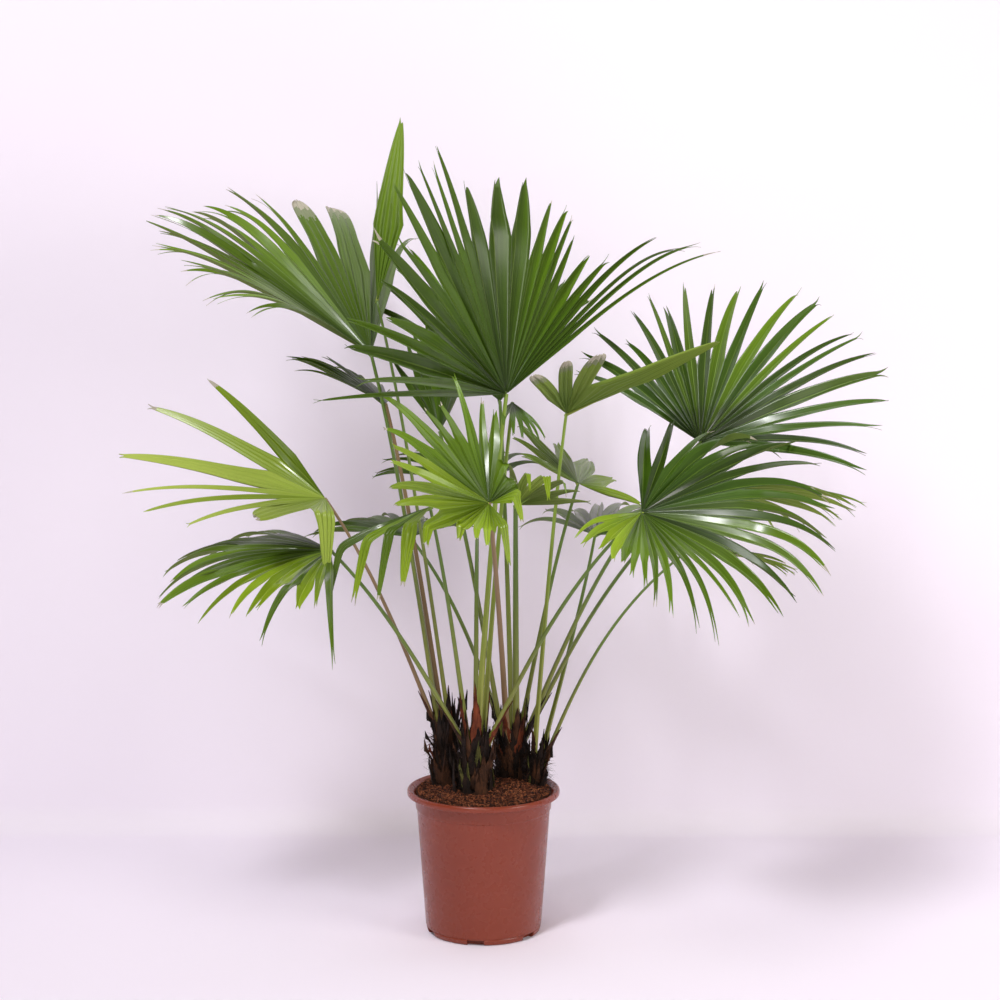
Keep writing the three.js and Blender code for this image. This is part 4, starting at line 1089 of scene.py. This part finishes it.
for number, (frond, look) in enumerate(zip(FRONDS, LOOKS), 1):
    frond = frond | {key: look[key] for key in TURNED_OTHERWISE if key in look}
    points, quads, uv, (cell_row, cell_column) = fan(frond, look, number)
    lobe = np.arange(len(quads)) // (2 * len(cell_row))
    shade = blade_shades(look, lobe, cell_row, cell_column, number)
    tone = RETONED.get(number, frond["tone"])
    finishes = blade_sets[tone]
    for other_tone, other_lobes in look["other"].items():
        shade = shade + len(finishes) * np.isin(lobe, list(other_lobes))
        finishes = finishes + blade_sets[other_tone]
    blade = add_piece(f"fan_{number:02d}", points, quads, finishes, uv=uv, finish_index=shade)
    wall = blade.modifiers.new("wall", "SOLIDIFY")
    wall.thickness, wall.offset, wall.material_offset = BLADE_THICKNESS * MM, -1, FINISHES_ABOVE
    points, quads = costa(frond, look, number)
    rib = add_piece(f"costa_{number:02d}", points, quads, [blade_sets[tone][RIB]])
    for piece in (blade, rib):
        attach(piece, "root")
        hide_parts(f"frond_{number:02d}")

# ---- Studio ---------------------------------------------------------------------------------
# Pale paper that runs up from the floor into a wall close behind the plant. A small light high at
# the left throws the plant's shadow down to the right, a big one in front, one at the right and a
# pale room fill it, and a narrow one above gives the wax its shine. The paper's wall is seen only
# from its front.

SWEEP_WALL = 0.56
SWEEP_BEND = 0.05
SWEEP_REACH = 9.0
SWEEP_HEIGHT = 6.0
CAMERA_PLACE = (0.026, -4.0, 1.3)
CAMERA_TILT = 8.7
CAMERA_LENS = 94.1
CAMERA_SENSOR = 36

turn = np.linspace(0, np.pi / 2, 12)
bend = SWEEP_WALL - SWEEP_BEND + SWEEP_BEND * np.sin(turn)
y = np.concatenate([(-SWEEP_REACH,), bend, (SWEEP_WALL,)])
z = np.concatenate([(0.0,), SWEEP_BEND - SWEEP_BEND * np.cos(turn), (SWEEP_HEIGHT,)])
x = np.broadcast_to((-SWEEP_REACH, SWEEP_REACH), (len(y), 2))
sweep = np.stack([x, np.stack([y, y], -1), np.stack([z, z], -1)], -1)

# Matte paper, white with a little violet in it, and clear from behind
paper, tree, shader = new_finish("studio_paper", {"Roughness": 0.9, "Specular IOR Level": 0.1})
shader.inputs["Base Color"].default_value = linear("#f6f1fb")
behind = add_node(tree, "ShaderNodeNewGeometry").outputs["Backfacing"]
clear = add_node(tree, "ShaderNodeBsdfTransparent")
seen = add_node(tree, "ShaderNodeMixShader", inputs={
    0: behind, 1: shader.outputs[0], 2: clear.outputs[0]})
tree.links.new(seen.outputs[0], tree.nodes["Material Output"].inputs["Surface"])
quads = grid_quads(len(y), 2)[:, ::-1]
backdrop = add_piece("studio_sweep", sweep.reshape(-1, 3) / MM, quads, [paper], weld=0)

# Each light's place and target in metres, size in metres, watts, spread in degrees and colour
for name, spot, target, size, power, spread, shade in (
    ("key_light", (-1.0, -2.0, 3.3), (0, 0.1, 0.65), 0.6, 68, 180, "#fdfaff"),
    ("front_light", (-0.2, -3.5, 1.3), (0, 0.1, 0.65), 1.8, 19, 180, "#fffaf6"),
    ("right_light", (2.4, -1.7, 1.2), (0, 0.1, 0.65), 1.2, 31, 180, "#fffaf6"),
    ("top_light", (-0.1, -0.6, 2.7), (0.4, 0.1, 0.8), 0.7, 1.3, 60, "#ffffff"),
):
    lamp = bpy.data.lights.new(name, "AREA")
    lamp.size, lamp.energy = size, power
    lamp.spread, lamp.color = math.radians(spread), linear(shade)[:3]
    holder = bpy.data.objects.new(name, lamp)
    holder.location = spot
    aim = np.subtract(target, spot)
    tilt = math.atan2(math.hypot(aim[0], aim[1]), -aim[2])
    holder.rotation_euler = (tilt, 0, math.atan2(-aim[0], aim[1]))
    bpy.context.scene.collection.objects.link(holder)

world = bpy.data.worlds.new("studio_fill")
world.use_nodes = True
world.node_tree.nodes["Background"].inputs["Color"].default_value = linear("#fff0e8")
world.node_tree.nodes["Background"].inputs["Strength"].default_value = 0.26
bpy.context.scene.world = world

lens = bpy.data.cameras.new("camera")
lens.lens, lens.sensor_width = CAMERA_LENS, CAMERA_SENSOR
camera = bpy.data.objects.new("camera", lens)
camera.location = CAMERA_PLACE
camera.rotation_euler = (math.radians(90 - CAMERA_TILT), 0, 0)
bpy.context.scene.collection.objects.link(camera)
bpy.context.scene.camera = camera
bpy.context.scene.view_settings.view_transform = "Standard"
